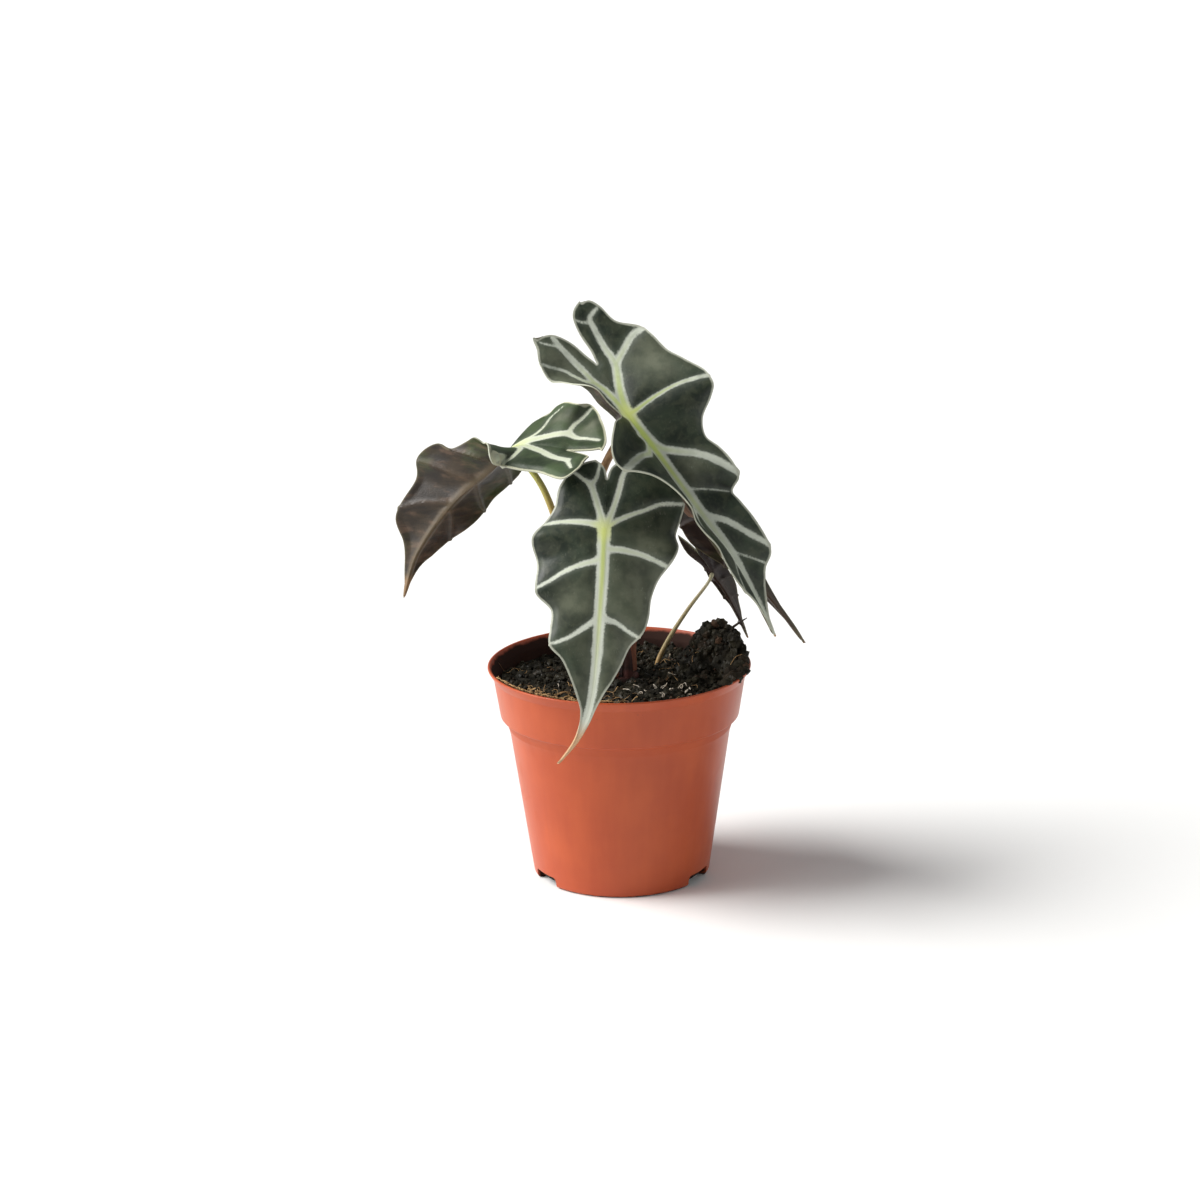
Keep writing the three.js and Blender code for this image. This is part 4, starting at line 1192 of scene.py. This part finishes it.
def corm_knob():
    radius = corm_high.x
    bottom = corm_low.z
    tall = CORM_TOP * MM - CORM_SINK - bottom
    deselect()
    bpy.ops.mesh.primitive_cylinder_add(
        vertices=CORM_SEGMENTS, radius=radius, depth=tall, location=(0, 0, bottom + tall / 2))
    knob = bpy.context.object
    bpy.ops.object.transform_apply(location=True, rotation=True, scale=True)
    apply(knob, "BEVEL", width=1.6 * MM, segments=3, angle_limit=math.radians(40))
    edit()
    for ring in range(1, CORM_RINGS):
        bpy.ops.mesh.select_all(action="SELECT")
        height = bottom + tall * ring / CORM_RINGS
        bpy.ops.mesh.bisect(plane_co=(0, 0, height), plane_no=(0, 0, 1))
    end_edit()
    points = points_of(knob)
    share = (points[:, 2] - bottom) / tall
    taper = 0.6 + 0.4 * np.clip(share * tall / (9 * MM), 0, 1) ** 0.6
    scars = 1 - 0.03 * (0.5 + 0.5 * np.cos(share * CORM_RINGS / RINGS_PER_SCAR * math.tau))
    lumps = np.array([noise.noise(Vector(p) / (4 * MM)) for p in points])
    points[:, :2] *= (taper * scars - 0.035 + 0.03 * lumps)[:, None]
    move_points(knob, points)
    return knob


def rolled_bud():
    steps = np.linspace(0, 1, 22)
    heights = CORM_TOP - 2 + (BUD_TOP - CORM_TOP + 2) * steps
    radii = BUD_RADIUS * np.sqrt(np.maximum(1 - steps ** 2.2, 0.002))
    lean = 0.5 * steps ** 2
    route = np.column_stack([BUD[0] + lean, BUD[1] - lean, heights])
    return tubes("bud", [(route, radii)], 5)


def corm_finish():
    corm = Finish("corm_skin", IOR=1.4)
    fibre = corm.grain(0.7 * MM, 3)
    colour = corm.coats(
        "2f1c16",
        (corm.rise(corm.grain(5 * MM, 4), 0.35, 0.7), "56302a"),
        (corm.rise(corm.height(), (CORM_TOP + 2) * MM, BUD_TOP * MM), "44241c"))
    return corm.finish(colour, 0.55 + 0.2 * fibre, fibre, 0.2 * MM, 0.6)


knob = join([corm_knob(), rolled_bud()])
hand_over(knob, "corm_crown", [corm_finish()], ["corm"], 50)

# %% [markdown]
# ## The peat
# Peat is a heap of crumbs of every size. The body is a fine grid, lifted to the soil's level and
# roughened, with a wall and a floor so that it is a closed solid. On it lie loose crumbs and clods:
# a few lumpy shapes, each modelled once and copied hundreds of times at seeded random places.

# %% Soil level
SOIL_LEVEL = 91.5
SOIL_ROUGHNESS = 0.7
LIP_TOP = pot_high.z / MM
MOUNDS = [
    (45, 16, 17.5, 7),
    (53, 5, 13.5, 5.5),
    (55.5, -2.5, 7.5, 5),
    (37, 20, 4, 5),
    (34, 6, 6, 10),
    (8, -44, 5, 15),
    (-30, -36, 4, 12),
    (-28, 32, -3.5, 16),
    (2, 0, 1.5, 12),
]
SOIL_CELL = 0.62
SOIL_RADIUS = 54.6
SOIL_WAIST = (49, 71)
SOIL_EDGE_CALM = 3
SOIL_EDGE_DROP = 2
COARSE, FINE, GRIT = 5.2, 2.1, 1.3
SOIL_FOOT = (38.2, 2.1)


def soil_level(x, y):
    level = SOIL_LEVEL + SOIL_ROUGHNESS * (
        np.sin(x * 0.71 + y * 0.33) + np.sin(y * 0.83 - x * 0.29 + 1.7)
        + 0.6 * np.sin(x * 1.31 + 2.1) * np.sin(y * 1.17 + 0.4))
    for mound_x, mound_y, height, spread in MOUNDS:
        level = level + height * np.exp(
            -((x - mound_x) ** 2 + (y - mound_y) ** 2) / (2 * spread ** 2))
    return level


def crumble(x, y, z):
    """The relief of crumbs in the body itself, in millimetres."""
    relief = []
    for place in np.column_stack([x, y, z]):
        at = Vector(place)
        coarse = noise.voronoi(at / COARSE)[0]
        fine = noise.voronoi(at / FINE)[0]
        lumps = 1.7 * (coarse[1] - coarse[0]) + 0.8 * (fine[1] - fine[0])
        relief.append(lumps + 0.5 * noise.noise(at / GRIT) - 0.9)
    return np.array(relief)


def soil_body():
    cells = round(2 * SOIL_RADIUS / SOIL_CELL)
    deselect()
    bpy.ops.mesh.primitive_grid_add(
        x_subdivisions=cells, y_subdivisions=cells, size=2 * SOIL_RADIUS * MM)
    soil = bpy.context.object
    edit()
    bpy.ops.mesh.select_mode(type="FACE")
    bpy.ops.mesh.select_all(action="DESELECT")
    end_edit()
    middles = read(soil.data.polygons, "center", 3)
    outside_faces = np.linalg.norm(middles[:, :2], axis=1) > (SOIL_RADIUS - 0.4) * MM
    soil.data.polygons.foreach_set("select", outside_faces)
    bpy.ops.object.mode_set(mode="EDIT")
    bpy.ops.mesh.delete(type="FACE")
    bpy.ops.mesh.select_mode(type="EDGE")
    bpy.ops.mesh.select_all(action="DESELECT")
    bpy.ops.mesh.select_non_manifold()
    end_edit()
    border = selected_points(soil)
    points = points_of(soil) / MM
    reach = np.linalg.norm(points[:, :2], axis=1)
    points[border, :2] *= (SOIL_RADIUS / reach[border])[:, None]
    x, y = points[:, 0], points[:, 1]
    level = soil_level(x, y)
    from_edge = SOIL_RADIUS - np.linalg.norm(points[:, :2], axis=1)
    calm = np.clip(from_edge / SOIL_EDGE_CALM, 0, 1)
    points[:, 2] = level + crumble(x, y, level) * calm
    points[border, 2] = SOIL_LEVEL - SOIL_EDGE_DROP
    move_points(soil, points * MM)
    bpy.ops.object.mode_set(mode="EDIT")
    for radius, height in (SOIL_WAIST, SOIL_FOOT):
        bpy.ops.mesh.extrude_region_move(TRANSFORM_OT_translate={"value": (0, 0, 0)})
        end_edit()
        ring = selected_points(soil)
        points = points_of(soil) / MM
        reach = np.linalg.norm(points[ring, :2], axis=1)
        points[ring, :2] *= (radius / reach)[:, None]
        points[ring, 2] = height
        move_points(soil, points * MM)
        bpy.ops.object.mode_set(mode="EDIT")
    bpy.ops.mesh.edge_face_add()
    bpy.ops.mesh.select_all(action="SELECT")
    bpy.ops.mesh.normals_make_consistent(inside=False)
    end_edit()
    return soil


soil = soil_body()
print("the soil's surface has", len(soil.data.vertices), "points")

# %% [markdown]
# ## Crumbs and clods
# A clod is a small icosphere, pulled about by noise. Six of them are enough: turned, squashed and
# scaled at random they never look alike. The heap at the right is built of the largest ones, and
# some of it has slipped over the lip. What would stand in the pot's wall is drawn back inside it.

# %% Crumbs
HEAP_CREST = [
    (36.5, 20, 105), (40, 19, 108), (44, 17, 111), (47, 16.5, 112.2), (50, 14, 110), (53, 12, 107.5),
    (54.5, 8, 105), (55.5, 4, 103), (56, 0, 101.8), (56, -4, 101.3), (50, 6, 106), (46, 10, 109),
    (41, 12, 107), (52, -2, 101), (49, 1, 103), (54, -9, 99.6), (50, -14, 98.6), (50, -19, 98.4),
]
CRUMBS = 2100
CLODS = 330
HEAP_CLODS = 150
SPILLED_CLODS = 130
HEAP_MIDDLE = (44, 15)
HEAP_REACH = 13
WALL_REACH = 52.3
LIP_REACH = 56.3
CROWN_REACH = 10.5
YOUNG_STALK = (17.8, 18.5)
YOUNG_STALK_CLEAR = 3
chance = np.random.default_rng(24)


def clod_shape(seed, detail):
    deselect()
    bpy.ops.mesh.primitive_ico_sphere_add(subdivisions=detail, radius=1)
    shape = bpy.context.object
    points = points_of(shape)
    shift = Vector((seed * 7.3, seed * 3.1, seed * 5.7))
    pull = np.array([1 + 0.55 * noise.noise(Vector(p) * 1.7 + shift) for p in points])
    points *= pull[:, None]
    faces = [list(face.vertices) for face in shape.data.polygons]
    bpy.data.objects.remove(shape)
    return points, np.array(faces)


def random_turns(count):
    """Turns that point every way, as rotation matrices."""
    q = chance.normal(size=(count, 4))
    q /= np.linalg.norm(q, axis=1, keepdims=True)
    w, x, y, z = q.T
    return np.stack([
        np.stack([1 - 2 * (y * y + z * z), 2 * (x * y - z * w), 2 * (x * z + y * w)], -1),
        np.stack([2 * (x * y + z * w), 1 - 2 * (x * x + z * z), 2 * (y * z - x * w)], -1),
        np.stack([2 * (x * z - y * w), 2 * (y * z + x * w), 1 - 2 * (x * x + y * y)], -1),
    ], -2)


def scatter(shapes, places, sizes):
    """Copies of the shapes at the places, each with its own turn, as points and faces."""
    turns = random_turns(len(places))
    squash = chance.uniform(0.65, 1.15, (len(places), 3))
    all_points, all_faces, tones, start = [], [], [], 0
    for i, place in enumerate(places):
        points, faces = shapes[i % len(shapes)]
        all_points.append((points * squash[i] * sizes[i]) @ turns[i].T + place)
        all_faces.append(faces + start)
        tones.append(np.full(len(points), chance.uniform()))
        start += len(points)
    return np.vstack(all_points), np.vstack(all_faces), np.concatenate(tones)


def clear_of_stems(x, y):
    young = np.hypot(x - YOUNG_STALK[0], y - YOUNG_STALK[1])
    return (np.hypot(x, y) > CROWN_REACH) & (young > YOUNG_STALK_CLEAR)


def on_soil(count, largest):
    """Random places on the soil inside a circle, clear of what grows in it."""
    angle = chance.uniform(0, math.tau, count * 4)
    reach = largest * np.sqrt(chance.uniform(0, 1, count * 4))
    x, y = reach * np.cos(angle), reach * np.sin(angle)
    kept = np.flatnonzero(clear_of_stems(x, y))[:count]
    return np.column_stack([x[kept], y[kept], soil_level(x[kept], y[kept])])


def heap_shell(count):
    """Places on the flanks of the heap at the right."""
    angle = chance.uniform(0, math.tau, count)
    reach = HEAP_REACH * np.sqrt(chance.uniform(0, 1, count))
    x = HEAP_MIDDLE[0] + reach * np.cos(angle) * 0.9
    y = HEAP_MIDDLE[1] + reach * np.sin(angle)
    inside_pot = np.hypot(x, y) < 54.5
    x, y = x[inside_pot], y[inside_pot]
    return np.column_stack([x, y, soil_level(x, y)])


def heap_spill(count):
    """Places where the heap has slipped over the lip at the right."""
    angle = np.radians(chance.uniform(-38, 27, count))
    reach = chance.uniform(51.5, 58.5, count)
    foot = soil_level(52 * np.cos(angle), 52 * np.sin(angle))
    in_wall = (reach > WALL_REACH) & (reach < LIP_REACH) & (foot < LIP_TOP + 1)
    reach = np.where(in_wall, WALL_REACH, reach)
    past = np.clip((reach - 53) / 6, 0, 1)
    top = foot * (1 - past) + LIP_TOP * past
    low = np.where(reach > WALL_REACH, LIP_TOP + 0.8, 95)
    height = np.maximum(low, low + (top - low) * chance.uniform(0, 1, count) ** 0.6)
    return np.column_stack([reach * np.cos(angle), reach * np.sin(angle), height])


small = [clod_shape(seed, 1) for seed in range(4)]
large = [clod_shape(seed, 2) for seed in range(4, 10)]
crumb_places = on_soil(CRUMBS, 54)
crumb_sizes = 0.35 + 0.9 * chance.uniform(0, 1, len(crumb_places)) ** 2.5
lying = on_soil(CLODS, 52.5)
heaped = np.vstack([heap_shell(HEAP_CLODS), heap_spill(SPILLED_CLODS)])
clod_places = np.vstack([lying, heaped, HEAP_CREST])
clod_sizes = np.concatenate([
    0.9 + 1.7 * chance.uniform(0, 1, len(lying)) ** 2,
    1.0 + 1.9 * chance.uniform(0, 1, len(heaped)) ** 1.6,
    chance.uniform(2.4, 3.4, len(HEAP_CREST))])
clod_places[:, 2] -= 0.3 * clod_sizes
fine_points, fine_faces, fine_tones = scatter(small, crumb_places + [0, 0, 0.3], crumb_sizes)
rough_points, rough_faces, rough_tones = scatter(large, clod_places, clod_sizes)
crumbs = mesh_piece("crumbs", np.vstack([fine_points, rough_points]) * MM,
                    np.vstack([fine_faces, rough_faces + len(fine_points)]))
note(crumbs, "tone", np.concatenate([fine_tones, rough_tones]))
note(soil, "tone", np.full(len(soil.data.vertices), 0.3))

# %% [markdown]
# ## Peat finish
# Moist peat is almost black, with brown and rust-coloured crumbs among it and a few wet glints.
# Each crumb carries one random tone, so neighbours differ as they do in a real pot.

# %% Peat finish
def peat_finish():
    peat = Finish("peat", IOR=1.4, Specular_IOR_Level=0.3)
    tone = peat.attribute("tone")
    colour = peat.coats(
        "131109",
        (peat.rise(peat.grain(7 * MM, 4), 0.35, 0.7), "2b271a"),
        (peat.rise(tone, 0.6, 0.95) * 0.45, "35281b"),
        (peat.rise(tone, 0.95, 0.98) * 0.7, "584030"),
        (peat.rise(peat.grain(0.7 * MM, 3), 0.58, 0.72) * 0.2, "55493a"))
    wet = peat.rise(peat.grain(3.5 * MM, 3), 0.5, 0.62)
    crust = peat.grain(0.6 * MM, 4) * 0.6 + peat.cells(1.2 * MM) * 0.4
    return peat.finish(colour, 0.85 - 0.45 * wet, crust, 0.35 * MM, 0.9)


peat = peat_finish()
hand_over(soil, "soil_body", [peat], ["soil"], 70)
hand_over(crumbs, "soil_crumbs", [peat], (), 40)

# %% [markdown]
# ## Fibres, rootlets and a twig
# Tan coir fibres lie over the soil and the rim at the front left. Short white rootlets curl out of
# the peat at the front right, and a dry twig leans out of the heap. Each is a thin tube along a
# wandering route that never dips into the soil or the rim.

# %% Fibre routes
COIR_FIBRES = 165
COIR_IN_FRONT = 130
ROOTLETS = 26
ROOTLETS_IN_FRONT = 20
FIBRE_REACH = 59.2
FIBRE_STEPS = 14


def ground(x, y):
    """The height that a fibre rests on: the soil, or the pot's wall and lip further out."""
    reach = np.hypot(x, y)
    on_wall = np.clip((reach - 54.0) / 4.0, 0, 1)
    level = soil_level(x, y)
    return level * (1 - on_wall) + np.maximum(level, LIP_TOP) * on_wall


def wander(start, heading, length, curl):
    """A route that starts somewhere, keeps its rough heading and curls as it goes."""
    turn = heading
    x, y = start
    route = []
    step = length / FIBRE_STEPS
    bend = chance.normal(0, curl)
    for i in range(FIBRE_STEPS + 1):
        hump = math.sin(math.pi * i / FIBRE_STEPS)
        route.append([x, y, float(ground(x, y)) + 0.5 + hump * abs(curl) * 2.2])
        bend += chance.normal(0, curl * 0.5)
        turn += bend
        x += step * math.cos(turn)
        y += step * math.sin(turn)
        reach = math.hypot(x, y)
        if reach > FIBRE_REACH:
            x *= FIBRE_REACH / reach
            y *= FIBRE_REACH / reach
            turn += math.pi / 2
    return np.array(route)


def coir_routes():
    routes = []
    for number in range(COIR_FIBRES):
        if number < COIR_IN_FRONT:
            angle = math.radians(chance.uniform(200, 262))
            reach = chance.uniform(46, 59)
        else:
            angle = math.radians(chance.uniform(0, 360))
            reach = chance.uniform(14, 53)
        start = (reach * math.cos(angle), reach * math.sin(angle))
        heading = angle + math.pi / 2 + chance.normal(0, 0.5)
        points = wander(start, heading, chance.uniform(5, 17), 0.16)
        width = chance.uniform(0.12, 0.26)
        routes.append((points, width * np.linspace(1, 0.4, len(points))))
    return routes


def rootlet_routes():
    routes = []
    for number in range(ROOTLETS):
        start = (chance.uniform(4, 38), chance.uniform(-42, -20))
        if number >= ROOTLETS_IN_FRONT:
            start = (chance.uniform(-30, 30), chance.uniform(-30, 40))
        points = wander(start, chance.uniform(0, math.tau), chance.uniform(3.5, 8), 0.42)
        width = chance.uniform(0.18, 0.3)
        routes.append((points, width * np.linspace(1, 0.5, len(points))))
    return routes


def straw_finish(name, low, high):
    straw = Finish(name, IOR=1.45)
    tone = straw.grain(4 * MM, 2)
    streak = straw.grain(0.5 * MM, 2)
    colour = straw.mix(straw.rise(tone, 0.3, 0.7), low, high)
    return straw.finish(colour, 0.6 + 0.2 * streak, streak, 0.05 * MM, 0.5)


coir = tubes("coir", coir_routes(), 0)
hand_over(coir, "soil_fibres", [straw_finish("coir", "7d5a38", "c39f6c")])
roots = tubes("roots", rootlet_routes(), 1)
hand_over(roots, "soil_rootlets", [straw_finish("rootlet", "a99a86", "d9cfc0")])

# %% [markdown]
# The dry twig leans out of the heap. Its two side shoots start inside it, so that they hold.

# %% Twig
TWIG = [
    ([(50.5, 18, 107.5), (53, 18, 109.8), (56, 17.8, 112), (59, 17.5, 113.9)], [0.75, 0.65, 0.5, 0.2]),
    ([(55.2, 17.9, 111.4), (56.6, 17, 110.6), (57.8, 16.4, 109.2)], [0.45, 0.35, 0.15]),
    ([(54.6, 17.9, 111.0), (55.2, 18.6, 113)], [0.35, 0.12]),
]
twig = tubes("twig", TWIG, 1)
hand_over(twig, "soil_twig", [straw_finish("bark", "2a211b", "4a3b2e")])

# %% [markdown]
# ## The studio
# A plain white floor runs far past the frame, so no edge or horizon shows. The photo's light comes
# from a large soft window at the left: the pot's left flank is bright, its right one dark, and a
# grey shadow lies at the right. A low card at the left softens where the light ends on the pot, a
# weak one at the right lights its dark edge, and a pale sky fills the rest. Each lamp is a wide sun.

# %% Floor and lights
FLOOR_SIZE = 30
deselect()
bpy.ops.mesh.primitive_plane_add(size=FLOOR_SIZE, location=(0, 0, -0.1 * MM))
floor = bpy.context.object
floor.name = "studio_floor"
paper = Finish("studio_paper")
paper.finish("f8f8f7", 0.9)
floor.data.materials.append(paper.material)


def soft_sun(name, turn, elevation, strength, width, tint=(1, 1, 1)):
    """A wide soft light from far away. turn is its bearing, counted from the viewer to the left."""
    turn, elevation = math.radians(turn), math.radians(elevation)
    bpy.ops.object.light_add(type="SUN")
    lamp = bpy.context.object
    lamp.name = name
    lamp.data.energy = strength
    lamp.data.angle = math.radians(width)
    lamp.data.color = tint
    level = math.cos(elevation)
    source = Vector((-math.sin(turn) * level, -math.cos(turn) * level, math.sin(elevation)))
    lamp.rotation_euler = source.to_track_quat("Z", "Y").to_euler()


soft_sun("window", 95, 43, 3.9, 40, (1, 0.99, 0.975))
soft_sun("near_card", 76, 8, 2.2, 36, (1, 0.985, 0.965))
soft_sun("far_card", -80, 8, 0.75, 60)
sky = bpy.data.worlds.new("studio_sky")
sky.use_nodes = True
sky.node_tree.nodes["Background"].inputs["Color"].default_value = (0.97, 0.99, 1, 1)
sky.node_tree.nodes["Background"].inputs["Strength"].default_value = 0.23
bpy.context.scene.world = sky
bpy.context.scene.view_settings.view_transform = "Standard"
print("floor, three lamps and sky")
